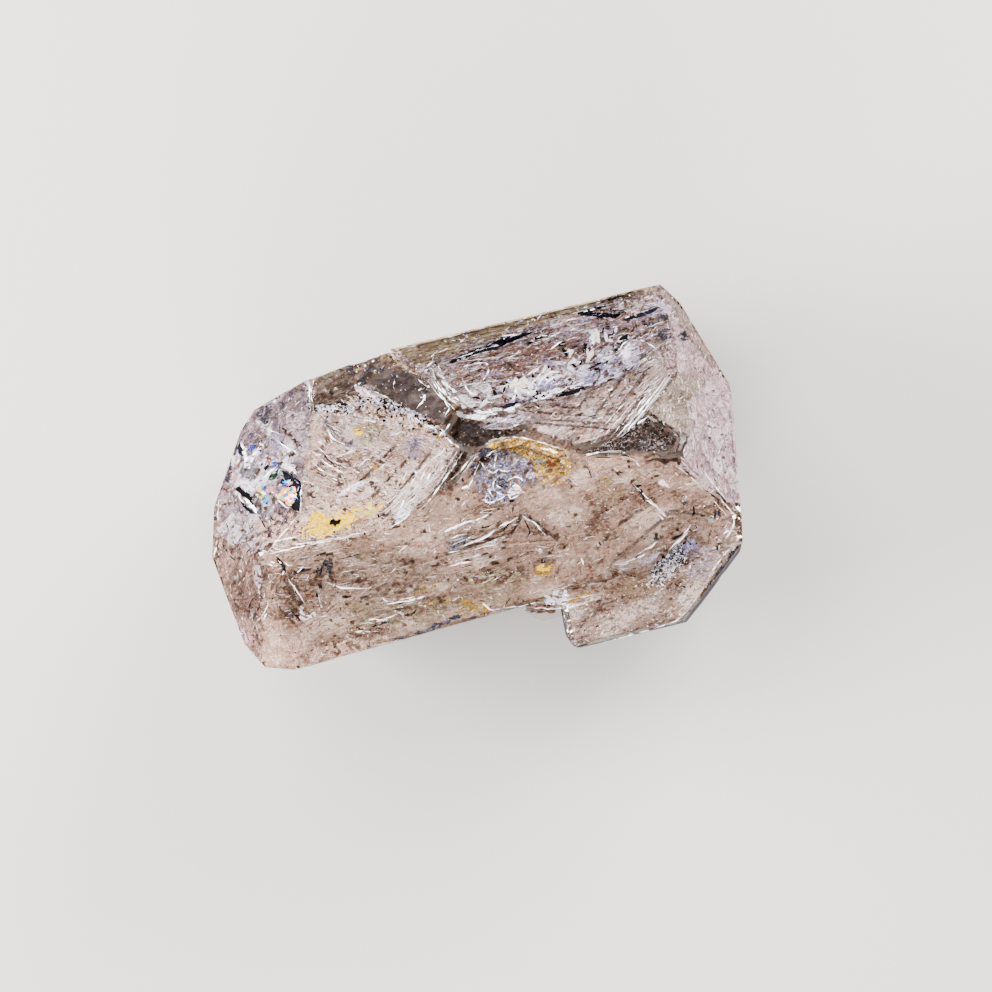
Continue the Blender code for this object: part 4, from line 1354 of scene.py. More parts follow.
# Frosted and stained films have ragged edges.
RAGGED_FILMS = {
    # finish: share of gaps, then (outline, depth) of each film
    "frost": (0.3, [
        ([(6.2, 5.0), (7.4, 5.3), (10.9, 5.2), (12.0, 5.4), (12.2, 5.3), (11.0, 4.9), (8.4, 5.0),
          (6.6, 4.7)], 0.05),
        ([(-0.1, 4.8), (0.7, 5.1), (1.8, 5.1), (4.5, 4.5), (4.2, 4.2), (3.0, 4.4), (1.0, 4.2),
          (0.4, 4.4)], 0.03),
        ([(14.3, 7.0), (14.9, 7.4), (15.6, 7.5), (15.3, 6.8), (14.6, 6.3), (14.3, 6.5)], 0.05),
        ([(11.4, 9.5), (12.1, 9.6), (13.8, 9.3), (12.0, 9.2)], 0.05),
        ([(-1.4, 9.5), (-1.0, 9.5), (-1.0, 8.6), (-0.6, 7.7), (-0.1, 7.0), (-0.6, 7.0), (-1.1, 7.9),
          (-1.4, 8.7)], 0.03),
        ([(1.0, 5.0), (1.7, 5.7), (3.2, 6.5), (2.6, 5.8)], 0.05),
        ([(-19.1, 5.9), (-18.5, 5.9), (-17.3, 6.7), (-17.0, 6.4), (-18.5, 5.3), (-19.2, 4.6),
          (-19.4, 5.0)], 0.04),
        ([(-19.2, 7.4), (-19.0, 7.3), (-18.7, 6.5), (-18.8, 5.6), (-19.2, 5.5)], 0.03),
        ([(-20.3, 3.0), (-19.4, 2.2), (-18.8, 0.9), (-19.1, 1.0), (-19.7, 1.8), (-20.2, 2.5)], 0.02),
        ([(-20.0, 4.1), (-19.2, 4.0), (-18.7, 3.5), (-18.7, 2.8), (-19.3, 2.7), (-19.8, 3.3)], 0.06),
        ([(-15.9, 4.7), (-15.2, 5.0), (-14.7, 4.3), (-14.6, 3.4), (-15.0, 3.3), (-15.6, 3.9)], 0.08),
        ([(-7.8, -2.0), (-6.2, -1.2), (-5.9, -1.6), (-6.5, -2.3), (-7.4, -2.6)], 0.05),
        ([(-12.1, 0.5), (-11.6, 1.1), (-10.7, 1.4), (-9.4, 1.5), (-9.3, 1.2), (-11.3, 0.6),
          (-11.9, 0.0)], 0.05),
        ([(1.9, -1.9), (2.4, -1.8), (3.0, -2.0), (3.2, -2.4), (2.7, -2.7), (2.1, -2.5)], 0.08),
        ([(-17.5, -7.9), (-17.2, -7.3), (-16.9, -7.3), (-17.1, -7.8), (-16.8, -8.3), (-16.1, -8.2),
          (-16.1, -8.8), (-16.8, -8.8), (-17.4, -8.6)], 0.03),
        ([(-19.6, -2.3), (-18.7, -2.0), (-18.5, -2.2), (-19.4, -2.6)], 0.03),
        ([(3.6, -11.9), (4.0, -11.5), (4.4, -11.7), (4.9, -11.5), (5.2, -11.9), (4.7, -12.3),
          (5.0, -12.8), (4.3, -12.8)], 0.03),
        ([(0.0, -11.8), (0.8, -11.8), (0.5, -12.2), (0.0, -12.2)], 0.02),
        ([(14.4, -4.4), (14.9, -4.2), (15.4, -5.1), (14.9, -5.1), (14.5, -4.7)], 0.03),
        ([(16.1, -9.1), (15.0, -9.8), (14.4, -10.4), (14.8, -9.8)], 0.02),
    ]),
    "pale": (0.22, [
        ([(0.9, 3.9), (2.1, 4.1), (3.3, 4.1), (4.6, 3.9), (5.6, 3.4), (3.7, 3.0), (1.4, 3.4)], 0.05),
        ([(14.1, 7.1), (14.9, 7.6), (15.8, 7.6), (15.9, 6.8), (15.3, 6.1), (14.5, 5.6),
          (14.1, 6.2)], 0.1),
        ([(-22.8, -8.1), (-22.4, -8.1), (-22.2, -9.3), (-22.5, -9.6)], 0.05),
        ([(3.3, -7.5), (3.7, -7.5), (3.8, -7.8), (3.5, -8.0), (3.3, -7.8)], 0.02),
        ([(11.3, -10.9), (11.8, -10.5), (12.6, -10.2), (13.4, -10.1), (13.2, -10.7),
          (11.8, -11.0)], 0.05),
    ]),
    "cream": (0.25, [
        ([(4.1, 6.6), (5.0, 6.8), (6.0, 6.4), (6.1, 6.0), (5.3, 5.9), (4.3, 6.2)], 0.06),
        ([(1.1, 2.2), (1.7, 2.4), (3.3, 2.3), (2.9, 2.1), (1.3, 2.0)], 0.02),
        ([(5.3, 0.9), (5.8, 0.7), (6.5, 0.3), (7.2, -0.1), (6.8, -0.2), (6.0, 0.3)], 0.02),
    ]),
    "lilac": (0.25, [
        ([(6.2, 6.0), (7.0, 6.4), (8.0, 6.1), (8.5, 5.6), (7.7, 5.4), (6.7, 5.5)], 0.08),
        ([(-16.6, 7.1), (-15.9, 7.3), (-15.4, 6.4), (-15.8, 5.6), (-16.4, 5.9)], 0.1),
        ([(15.9, -9.6), (16.8, -9.4), (17.0, -9.9), (16.7, -10.6), (15.9, -10.9), (15.0, -11.0)], 0.12),
    ]),
    "lavender": (0.3, [
        ([(-11.9, 7.4), (-11.4, 7.3), (-9.4, 4.6), (-9.9, 4.5), (-10.8, 5.2)], 0.06),
        ([(-5.7, 3.5), (-5.1, 4.0), (-4.4, 4.0), (-3.9, 3.3), (-4.4, 2.5), (-5.3, 2.3),
          (-5.7, 2.8)], 0.12),
        ([(2.1, -0.3), (3.0, 0.0), (4.0, -0.2), (4.4, -0.7), (2.4, -0.9)], 0.08),
    ]),
    "grey": (0.2, [
        ([(-19.7, 4.9), (-19.2, 5.4), (-18.6, 5.4), (-18.3, 4.9), (-18.6, 4.2), (-19.2, 4.0),
          (-19.7, 4.3)], 0.06),
        ([(-3.8, -4.9), (-2.9, -4.7), (-2.0, -4.8), (-1.8, -5.3), (-2.6, -5.8), (-3.7, -6.1),
          (-4.1, -5.7)], 0.2),
    ]),
    "aqua": (0.2, [
        ([(4.8, -0.3), (5.2, 0.0), (5.9, -0.4), (5.6, -0.7), (5.0, -0.6)], 0.05),
    ]),
    "rose": (0.25, [
        ([(-15.1, 7.8), (-14.5, 8.7), (-13.6, 8.7), (-13.1, 8.1), (-13.4, 6.9), (-14.1, 6.1),
          (-14.8, 6.7)], 0.15),
        ([(-8.6, 9.4), (-7.9, 9.8), (-6.3, 8.1), (-7.0, 8.0), (-7.8, 8.4), (-8.5, 8.8)], 0.05),
        ([(-20.1, -2.8), (-19.7, -3.4), (-19.6, -4.5), (-20.2, -5.3), (-20.5, -4.5)], 0.15),
        ([(15.9, -11.1), (17.0, -10.6), (18.0, -11.0), (17.9, -12.2), (16.7, -13.3), (15.6, -13.4),
          (15.0, -12.5)], 0.2),
        ([(-8.6, 9.4), (-8.1, 9.7), (-6.2, 7.5), (-6.9, 7.8), (-8.1, 8.6)], 0.02),
        ([(-13.4, -12.8), (-11.9, -12.5), (-10.6, -12.7), (-9.1, -12.5), (-7.7, -12.5), (-10.7, -13.0),
          (-12.6, -13.0)], 0.05),
    ]),
    "sun": (0.25, [
        ([(-14.9, -1.1), (-14.4, -0.4), (-13.7, -0.3), (-13.1, -0.5), (-12.7, -1.0), (-13.0, -1.7),
          (-13.9, -2.1), (-14.8, -1.8)], 0.08),
        ([(-12.8, -1.8), (-12.2, -1.2), (-11.3, -0.8), (-10.7, -1.0), (-11.1, -1.6), (-11.8, -1.9),
          (-12.5, -2.1)], 0.1),
        ([(1.1, 1.9), (1.6, 2.1), (1.8, 1.8), (1.5, 1.7)], 0.04),
        ([(2.9, -9.1), (3.3, -8.8), (3.8, -8.9), (4.3, -9.4), (3.8, -9.6), (3.3, -9.5),
          (3.0, -9.4)], 0.05),
    ]),
    "paleyellow": (0.35, [
        ([(-10.9, -1.0), (-10.0, -0.7), (-8.8, -1.1), (-8.6, -1.8), (-10.7, -1.7)], 0.12),
    ]),
    "tan": (0.35, [
        ([(-11.1, 3.8), (-10.4, 4.2), (-9.2, 4.0), (-8.9, 3.5), (-9.7, 3.1), (-10.7, 3.3)], 0.15),
        ([(-14.2, -7.9), (-13.1, -7.9), (-12.0, -8.4), (-11.4, -9.0), (-12.5, -9.0),
          (-13.8, -8.6)], 0.12),
        ([(-1.0, -11.5), (-0.7, -11.0), (-0.2, -10.9), (0.3, -11.2), (0.3, -11.7), (-0.4, -11.7)], 0.06),
        ([(9.4, -11.6), (10.7, -11.5), (11.8, -12.0), (12.1, -13.1), (11.2, -13.9), (9.9, -13.9),
          (9.3, -12.8)], 0.2),
        ([(9.3, -3.3), (10.3, -3.0), (11.3, -3.8), (11.5, -4.7), (10.3, -5.0), (9.4, -4.4)], 0.15),
        ([(12.7, -3.2), (13.4, -3.2), (13.6, -3.8), (13.0, -4.2), (12.5, -3.8)], 0.1),
        ([(-5.9, 11.9), (-5.0, 11.8), (-4.6, 11.2), (-5.2, 10.9), (-5.9, 11.2)], 0.15),
        ([(-4.8, 11.7), (-3.0, 9.2), (-3.5, 9.4), (-4.3, 10.4), (-5.0, 11.4)], 0.03),
        ([(-9.5, 6.5), (-7.9, 5.5), (-8.4, 5.2), (-9.3, 5.7)], 0.08),
    ]),
    "pink": (0.3, [
        ([(-17.9, 2.8), (-17.3, 3.1), (-16.8, 2.6), (-17.1, 2.1), (-17.7, 2.2)], 0.08),
        ([(-20.7, 4.0), (-20.2, 5.8), (-19.8, 6.0), (-20.2, 4.2), (-20.6, 3.2)], 0.1),
        ([(-22.1, -8.5), (-21.8, -8.7), (-21.6, -9.2), (-22.2, -9.6)], 0.08),
    ]),
    "ochre": (0.3, [
        ([(-8.8, 2.6), (-8.4, 2.8), (-7.9, 2.5), (-8.1, 2.1), (-8.7, 2.2)], 0.05),
        ([(-2.8, 3.6), (-2.5, 3.9), (-2.2, 3.6), (-2.5, 3.3)], 0.05),
        ([(2.4, -9.0), (3.7, -8.7), (4.3, -9.1), (4.6, -9.5), (3.9, -9.8), (3.1, -9.8),
          (2.5, -9.4)], 0.1),
        ([(4.8, -12.5), (6.2, -12.0), (6.9, -12.1), (7.0, -12.4), (5.7, -12.7), (5.1, -12.7)], 0.08),
        ([(-4.2, -10.2), (-3.3, -10.0), (-2.5, -10.9), (-1.6, -11.5), (-2.3, -11.8),
          (-3.4, -11.3)], 0.12),
    ]),
    "yellow": (0.2, [
        ([(-9.5, 5.8), (-9.1, 6.0), (-8.5, 5.6), (-8.8, 5.2), (-9.3, 5.4)], 0.08),
    ]),
    "blue": (0.15, [
        ([(-18.4, 6.9), (-17.8, 6.6), (-18.4, 6.2), (-18.7, 6.4)], 0.08),
        ([(-18.3, 7.8), (-18.0, 7.8), (-18.0, 7.3), (-18.2, 7.4)], 0.08),
        ([(-16.9, 4.9), (-16.3, 4.9), (-16.1, 4.3), (-16.7, 4.3)], 0.08),
    ]),
    "green": (0.15, [
        ([(-17.5, 3.6), (-17.2, 3.9), (-16.2, 4.4), (-16.5, 3.6), (-17.0, 3.4)], 0.06),
        ([(-18.3, 2.1), (-18.0, 2.3), (-17.8, 1.4), (-18.0, 1.3)], 0.06),
    ]),
    "olive": (0.35, [
        ([(14.1, 4.8), (17.1, 6.6), (16.8, 6.0), (14.5, 4.5)], 0.08),
        ([(-8.6, 5.2), (-8.0, 5.3), (-7.8, 4.4), (-8.3, 4.4)], 0.08),
        ([(-11.1, 11.4), (-8.8, 11.8), (-6.1, 11.9), (-6.5, 11.4), (-8.8, 11.2), (-10.8, 10.8)], 0.2),
    ]),
    "brown": (0.2, [
        ([(4.5, 4.3), (5.6, 4.4), (6.9, 4.2), (5.9, 4.1)], 0.1),
        ([(-17.9, 5.1), (-17.6, 5.1), (-17.5, 4.8), (-17.8, 4.8)], 0.06),
        ([(-15.5, 7.7), (-15.1, 7.5), (-13.7, 5.4), (-14.2, 5.6)], 0.05),
        ([(-15.9, -5.9), (-15.6, -5.7), (-15.3, -5.3), (-14.9, -5.0), (-15.1, -5.4),
          (-15.6, -5.8)], 0.06),
        ([(-13.3, -10.0), (-12.7, -10.5), (-11.9, -10.8), (-11.0, -10.9), (-10.7, -11.2), (-12.6, -10.7),
          (-13.2, -10.4)], 0.08),
        ([(-9.0, -10.3), (-8.4, -10.1), (-7.7, -10.2), (-8.1, -10.5), (-8.7, -10.5)], 0.08),
        ([(7.1, -13.0), (7.4, -12.9), (7.7, -13.0), (7.5, -13.2), (7.1, -13.2)], 0.04),
        ([(10.5, -2.4), (11.6, -2.7), (11.9, -3.0), (11.6, -3.1)], 0.02),
        ([(11.1, -3.3), (11.5, -3.5), (12.0, -3.3), (11.8, -3.6), (11.3, -3.7)], 0.02),
    ]),
    "rust": (0.25, [
        ([(-17.4, 5.4), (-16.9, 5.5), (-16.7, 5.2), (-17.1, 4.9)], 0.06),
        ([(-21.8, 3.9), (-21.4, 3.9), (-21.0, 3.4), (-21.2, 3.3)], 0.06),
        ([(5.7, -0.4), (6.2, -0.2), (6.8, -0.5), (6.5, -1.0), (5.9, -1.1)], 0.06),
        ([(-16.6, -6.6), (-16.2, -6.6), (-15.8, -6.9), (-16.0, -7.2), (-16.5, -7.0)], 0.1),
    ]),
    "slate": (0.2, [
        ([(14.0, 10.7), (14.5, 10.8), (15.2, 10.6), (15.5, 10.2), (14.7, 10.3)], 0.1),
        ([(16.4, 9.2), (16.9, 9.2), (17.8, 8.7), (17.1, 8.6), (16.6, 8.8)], 0.1),
        ([(17.6, 9.3), (18.3, 9.4), (19.2, 9.2), (18.8, 8.9), (18.0, 9.0)], 0.1),
        ([(17.3, 7.6), (17.7, 8.1), (18.9, 8.0), (18.6, 7.7), (18.7, 7.2), (18.0, 7.0),
          (17.5, 7.2)], 0.12),
        ([(19.0, 7.2), (19.5, 7.6), (20.2, 7.5), (20.0, 7.1), (20.1, 6.6), (19.4, 6.7)], 0.12),
        ([(1.3, 3.8), (1.8, 4.0), (2.8, 4.0), (2.2, 3.7), (1.6, 3.6)], 0.05),
        ([(13.8, 5.5), (14.2, 5.7), (14.5, 5.3), (14.0, 5.2)], 0.08),
        ([(13.4, 7.2), (15.2, 8.1), (14.5, 7.5), (13.8, 7.2)], 0.05),
        ([(-17.4, 9.2), (-16.5, 9.9), (-15.6, 9.8), (-15.9, 9.0), (-16.6, 8.0)], 0.12),
        ([(-19.4, 4.9), (-19.0, 5.2), (-18.7, 5.1), (-18.9, 4.7), (-19.2, 4.7)], 0.04),
        ([(-21.3, 4.5), (-20.4, 5.8), (-20.4, 4.8), (-20.8, 3.8)], 0.1),
        ([(-15.0, 9.1), (-15.1, 9.7), (-14.7, 9.8), (-14.6, 9.3)], 0.08),
        ([(0.2, 1.7), (1.0, 1.9), (1.6, 1.5), (1.1, 1.0), (0.6, 0.9), (0.3, 1.2)], 0.1),
        ([(1.4, -1.1), (1.9, -1.0), (2.2, -1.5), (2.0, -2.0), (1.4, -2.0)], 0.05),
        ([(-14.3, -4.2), (-13.9, -4.0), (-13.6, -4.3), (-13.6, -4.8), (-14.0, -5.4), (-14.3, -5.2),
          (-14.5, -4.7)], 0.1),
        ([(-15.0, -4.6), (-14.7, -4.8), (-14.9, -5.1), (-15.2, -5.0)], 0.08),
        ([(-18.6, -7.7), (-18.0, -7.5), (-17.6, -7.8), (-17.5, -8.8), (-18.2, -8.3)], 0.08),
        ([(14.0, -5.1), (14.1, -5.4), (14.2, -6.0), (14.0, -5.7)], 0.04),
        ([(15.7, -6.5), (16.1, -6.4), (16.6, -6.7), (16.2, -6.8)], 0.05),
        ([(18.6, -7.7), (19.0, -8.0), (19.0, -8.5), (18.5, -8.8), (18.2, -8.4), (18.5, -8.1)], 0.12),
        ([(18.2, -10.6), (18.5, -10.8), (18.3, -11.3), (18.1, -11.1)], 0.05),
        ([(20.2, -10.7), (20.5, -11.3), (17.0, -14.8), (15.3, -16.3), (14.2, -16.9), (10.0, -17.2),
          (10.1, -17.0), (14.0, -16.4), (14.9, -15.8)], 0.1),
        ([(-8.8, 11.7), (-8.3, 11.7), (-8.3, 10.9), (-8.7, 10.3), (-9.0, 10.9)], 0.15),
        ([(-7.9, 10.3), (-7.4, 10.4), (-7.1, 9.9), (-7.5, 9.5), (-8.0, 9.7)], 0.12),
        ([(-7.3, 11.0), (-5.5, 10.5), (-5.7, 10.2), (-6.6, 10.3), (-7.2, 10.6)], 0.12),
        ([(-11.1, -12.3), (-9.6, -12.0), (-7.8, -11.9), (-4.1, -11.2), (-4.1, -11.5), (-5.8, -12.0),
          (-10.9, -12.6)], 0.02),
    ]),
}


RAINBOWS = [
    [(-16.6, 3.1), (-15.4, 3.0), (-15.2, 1.4), (-15.8, 0.9), (-17.1, 1.4), (-17.0, 2.2)],
    [(-18.8, 3.2), (-18.1, 3.3), (-17.6, 1.7), (-17.9, 1.2), (-18.6, 2.3)],
    [(-9.9, 1.4), (-9.4, 1.6), (-9.0, 1.3), (-9.5, 1.1)],
]


class QUARTZ_OT_plates(bpy.types.Operator):
    """Add the broken plates: dark gaps of painted shade, frosted walls with a painted glow and coloured
    cracks
    """

    bl_idname = "quartz.plates"
    bl_label = "Broken plates"

    def execute(self, context):
        finishes = {
            name: inclusion_material(
                "plate_" + name, [(0.38, dark), (0.48, middle), (0.54, middle), (0.64, light)],
                0.2, turn=0.3, stretch=2.0, swirl=2.0, painted_glow=PLATE_PAINTED_GLOWS.get(name, 0.0),
            )
            for name, (dark, middle, light) in PLATE_FINISHES.items()
        }
        plates("broken_plates", BROKEN_PLATES, finishes)
        for finish, (gaps, rows) in RAGGED_FILMS.items():
            films = []
            for outline, depth in rows:
                (x1, y1), (x2, y2) = outline[0], outline[len(outline) // 2]
                size = math.hypot(x2 - x1, y2 - y1)
                films.append(
                    lace(
                        "film", outline, depth, finishes[finish], grain=0.16, stretch=3.0,
                        cell=0.07 if size > 0.8 else 0.045, open_share=gaps, ripple=0.06,
                        turn=math.degrees(math.atan2(y2 - y1, x2 - x1)), ragged=0.18,
                        seed=len(films) * 1.3,
                    )
                )
            joined(films, f"films_{finish}")
        for number, outline in enumerate(RAINBOWS):
            lace(
                f"rainbow_{number}", outline, 0.03, inclusion("rainbow_crack"), cell=0.06,
                grain=0.25, stretch=1.5, open_share=0.3, ripple=0.03, seed=number + 0.5,
            )
        return {"FINISHED"}


FINE_WHITE = [
    # path, width, depth
    ([(0.4, 9.8), (3.2, 10.2)], 0.09, 0.05), ([(2.4, 10.1), (4.7, 10.1)], 0.09, 0.05),
    ([(1.7, 9.7), (3.4, 9.8)], 0.07, 0.05), ([(11.6, 11.1), (12.7, 11.2), (13.7, 11.1)], 0.13, 0.03),
    ([(0.3, 9.6), (4.1, 9.1)], 0.08, 0.0),
    ([(0.6, 8.6), (0.8, 8.9), (1.3, 9.1), (2.9, 9.0), (3.0, 8.5), (2.8, 7.8), (1.0, 6.9)], 0.13, 0.0),
    ([(0.6, 8.1), (0.7, 7.3), (0.9, 6.7), (1.2, 6.4)], 0.13, 0.0),
    ([(0.8, 8.5), (1.9, 8.5), (2.6, 8.6)], 0.09, 0.0),
    ([(3.0, 4.6), (4.4, 4.6), (6.6, 4.8), (7.9, 4.7)], 0.12, 0.0), ([(1.0, 3.6), (4.7, 3.7)], 0.1, -0.01),
    ([(1.4, 3.5), (2.7, 3.1), (3.9, 3.0), (4.9, 3.1)], 0.14, -0.01),
    ([(0.5, 4.8), (1.7, 4.8), (3.0, 4.6)], 0.1, -0.01),
    ([(4.4, 6.8), (5.3, 6.8), (6.3, 7.1), (6.9, 7.4)], 0.09, 0.0), ([(5.6, 6.5), (7.4, 7.6)], 0.08, 0.0),
    ([(6.1, 6.2), (7.9, 7.4)], 0.09, 0.0), ([(6.5, 5.9), (7.4, 6.5), (8.2, 6.9)], 0.08, 0.0),
    ([(6.9, 5.7), (8.4, 6.5)], 0.08, 0.0),
    ([(5.7, 5.7), (6.0, 6.2), (6.4, 6.2), (6.6, 5.8), (6.1, 5.3)], 0.1, 0.0),
    ([(6.7, 5.9), (7.0, 6.4), (7.5, 6.4), (7.6, 5.9), (7.2, 5.7)], 0.1, 0.0),
    ([(7.5, 6.8), (9.3, 6.6), (10.1, 6.3)], 0.1, 0.0),
    ([(8.2, 8.5), (9.0, 9.0), (9.9, 9.2), (11.0, 9.2)], 0.1, 0.0),
    ([(6.9, 9.5), (9.2, 9.8), (9.8, 10.1)], 0.1, 0.0), ([(7.5, 10.0), (8.5, 10.0)], 0.12, 0.0),
    ([(4.3, 10.8), (6.2, 10.6)], 0.12, 0.0), ([(8.4, 11.2), (9.0, 11.1), (9.9, 11.2)], 0.1, 0.0),
    ([(9.3, 8.2), (10.0, 8.2), (10.7, 8.4)], 0.09, 0.0), ([(15.2, 8.0), (13.6, 7.0)], 0.09, 0.0),
    ([(15.5, 7.8), (13.8, 6.6)], 0.09, 0.0), ([(16.8, 6.4), (15.7, 5.8), (14.9, 5.1)], 0.07, 0.0),
    ([(16.0, 7.7), (16.7, 7.1), (17.1, 6.5)], 0.1, 0.0),
    ([(11.7, -0.1), (14.6, 1.8), (15.9, 2.9), (16.9, 3.6)], 0.14, -0.01),
    ([(12.0, -0.3), (16.2, 2.7)], 0.1, -0.01), ([(12.2, 0.0), (15.0, 1.2)], 0.14, -0.01),
    ([(11.4, 0.2), (12.9, 1.1), (16.7, 4.0)], 0.09, 0.0),
    ([(11.0, 0.5), (12.6, 1.5), (15.6, 3.7)], 0.08, 0.0),
    ([(10.5, 0.9), (12.2, 1.9), (13.8, 3.0)], 0.07, 0.0),
    ([(-1.6, 10.1), (-1.3, 10.6), (-1.0, 10.7)], 0.12, 0.0),
    ([(-2.0, 8.7), (-1.7, 7.5), (-1.2, 6.4), (-0.7, 5.6)], 0.12, 0.0),
    ([(-1.7, 8.8), (-0.9, 6.6), (-0.3, 5.9)], 0.1, 0.0),
    ([(-1.7, 7.6), (-1.4, 6.5), (-0.9, 5.6)], 0.09, 0.0),
    ([(-1.1, 7.5), (-0.6, 6.7), (0.1, 6.1)], 0.09, 0.0), ([(-1.0, 6.0), (-1.6, 5.1)], 0.1, 0.0),
    ([(-19.2, 7.4), (-19.0, 6.6), (-19.0, 5.8), (-19.3, 5.2)], 0.16, 0.0),
    ([(-15.7, 4.7), (-14.8, 3.2)], 0.12, 0.0), ([(-14.6, 2.7), (-15.2, 0.3)], 0.16, -0.01),
    ([(-14.6, 2.7), (-13.5, 2.2)], 0.14, 0.0), ([(-17.9, 3.8), (-17.3, 4.0), (-16.3, 4.6)], 0.14, 0.0),
    ([(-17.3, 4.4), (-17.0, 3.9), (-16.6, 4.0)], 0.1, 0.0),
    ([(-16.8, 7.9), (-16.2, 7.6), (-15.6, 7.1)], 0.12, 0.0), ([(-15.5, 10.0), (-15.3, 9.9)], 0.3, 0.0),
    ([(-15.3, 5.4), (-14.8, 5.5), (-14.4, 5.0)], 0.12, 0.0),
    ([(-16.0, 6.7), (-15.5, 6.0), (-14.9, 5.5)], 0.1, 0.0),
    ([(-16.9, 1.6), (-16.5, 1.0), (-16.1, 0.7)], 0.09, 0.0),
    ([(-16.1, 3.4), (-15.9, 2.8), (-15.5, 3.1)], 0.09, 0.0),
    ([(-16.1, 1.6), (-15.8, 1.1), (-15.5, 1.5)], 0.1, 0.0), ([(-15.4, 1.7), (-15.2, 1.3)], 0.14, 0.0),
    ([(-19.0, -1.6), (-17.7, -1.7), (-15.6, -1.7)], 0.11, 0.0),
    ([(-18.3, -2.1), (-17.5, -2.6), (-16.7, -2.7)], 0.09, 0.0),
    ([(-19.7, -2.6), (-16.2, -2.6), (-11.0, -2.8)], 0.09, 0.0),
    ([(-11.8, 11.1), (-12.2, 10.1), (-12.3, 9.1)], 0.1, 0.0), ([(-22.7, 0.4), (-23.6, -1.8)], 0.14, 0.0),
    ([(-22.1, 3.2), (-22.7, 0.9)], 0.09, 0.0), ([(-11.6, 6.5), (-11.2, 5.5), (-10.2, 4.7)], 0.12, 0.0),
    ([(-1.9, 3.3), (-0.7, 2.0)], 0.15, -0.01),
    ([(-0.7, 2.0), (-3.4, -0.5), (-4.5, -1.4), (-5.6, -2.1)], 0.15, -0.01),
    ([(-5.9, -1.7), (-6.7, -2.4), (-8.2, -2.8)], 0.2, 0.0), ([(-7.5, -2.0), (-6.2, -0.5)], 0.1, 0.0),
    ([(-7.9, -1.6), (-6.5, -0.2)], 0.08, 0.0), ([(-7.2, -2.4), (-5.8, -1.1)], 0.1, 0.0),
    ([(-5.5, -0.4), (-4.1, 1.3)], 0.08, 0.0), ([(-5.9, 0.0), (-5.2, 0.8), (-4.7, 1.7)], 0.08, 0.0),
    ([(-6.3, 0.8), (-5.7, 1.5)], 0.08, 0.0), ([(-4.2, 0.3), (-3.9, 0.8)], 0.14, 0.0),
    ([(-13.2, 5.1), (-12.4, 3.9), (-11.6, 3.0), (-10.6, 2.4)], 0.13, 0.0),
    ([(-12.7, 5.3), (-11.9, 4.1), (-11.0, 3.2), (-10.3, 2.8)], 0.09, 0.0),
    ([(-13.4, 4.1), (-12.6, 3.0), (-11.5, 2.3)], 0.09, 0.0), ([(-11.3, 1.2), (-9.2, 1.5)], 0.14, 0.0),
    ([(-9.7, 2.7), (-9.1, 3.1), (-8.4, 3.4)], 0.09, 0.0), ([(-8.4, 2.0), (-7.2, 2.6)], 0.11, 0.0),
    ([(-11.5, 4.0), (-9.7, 4.2)], 0.09, 0.0), ([(-7.0, 4.8), (-6.2, 4.7), (-5.3, 4.8)], 0.1, 0.0),
    ([(-8.5, 9.5), (-7.9, 9.8)], 0.2, 0.0), ([(-7.1, 8.9), (-6.1, 8.0), (-5.4, 7.2)], 0.1, 0.0),
    ([(-5.2, 6.8), (-4.5, 6.0), (-2.2, 3.9)], 0.1, 0.0),
    ([(-2.4, 3.7), (-1.8, 4.1), (-1.4, 4.5)], 0.12, 0.0),
    ([(-3.4, 1.9), (-2.7, 2.1), (-2.2, 2.6)], 0.1, 0.0), ([(-3.4, 6.7), (-2.8, 7.2)], 0.2, 0.0),
    ([(-3.2, 7.9), (-2.8, 8.0)], 0.24, 0.0), ([(-2.5, 8.0), (-2.3, 8.0)], 0.3, 0.0),
    ([(-3.0, 7.3), (-2.8, 7.2)], 0.3, 0.0), ([(0.0, 1.5), (-1.6, 0.2), (-2.3, -0.1)], 0.12, -0.01),
    ([(0.2, 1.3), (-0.5, 0.7), (-1.4, 0.1)], 0.1, -0.01), ([(0.4, 0.8), (-1.3, -1.4)], 0.1, 0.0),
    ([(0.4, 0.8), (0.7, 0.1), (1.2, -0.5), (1.7, -0.2)], 0.12, 0.0),
    ([(1.1, 0.4), (1.4, -0.2), (1.6, 0.6), (2.0, 1.1)], 0.11, 0.0),
    ([(1.7, -0.8), (1.1, -1.1), (0.9, -1.6), (1.1, -2.1), (1.6, -2.4)], 0.13, 0.0),
    ([(0.3, -2.0), (0.0, -2.4), (0.3, -2.8), (0.9, -2.8), (2.1, -2.4)], 0.18, -0.01),
    ([(2.1, -2.4), (2.0, -2.9), (2.6, -2.8), (3.1, -2.6)], 0.16, -0.01),
    ([(0.5, -1.8), (0.7, -2.3)], 0.12, 0.0), ([(2.3, -2.0), (2.9, -1.8), (3.2, -2.3)], 0.12, 0.0),
    ([(-1.6, -1.1), (-1.1, -1.0)], 0.2, 0.0),
    ([(2.3, -1.3), (2.9, -1.1), (3.5, -1.5), (3.7, -2.0)], 0.1, 0.0),
    ([(0.9, 1.0), (1.4, 1.3), (2.0, 1.4)], 0.1, 0.0), ([(1.7, -0.2), (2.2, -0.5), (2.9, -0.5)], 0.1, 0.0),
    ([(-4.1, -4.3), (-2.0, -3.9), (-0.9, -3.9), (0.0, -3.7)], 0.14, 0.0),
    ([(-3.6, -5.5), (-1.6, -5.1)], 0.13, 0.0), ([(-2.5, -4.5), (-2.1, -4.4), (-1.8, -4.5)], 0.24, 0.0),
    ([(-2.7, -5.8), (-1.2, -5.6), (-0.1, -5.3), (1.0, -4.8), (2.2, -4.6)], 0.16, 0.0),
    ([(-1.5, -6.1), (1.2, -5.8)], 0.13, 0.0), ([(-3.6, -4.9), (-2.2, -4.8)], 0.09, 0.0),
    ([(-2.2, -6.3), (-1.0, -6.2), (0.2, -6.3)], 0.09, 0.0),
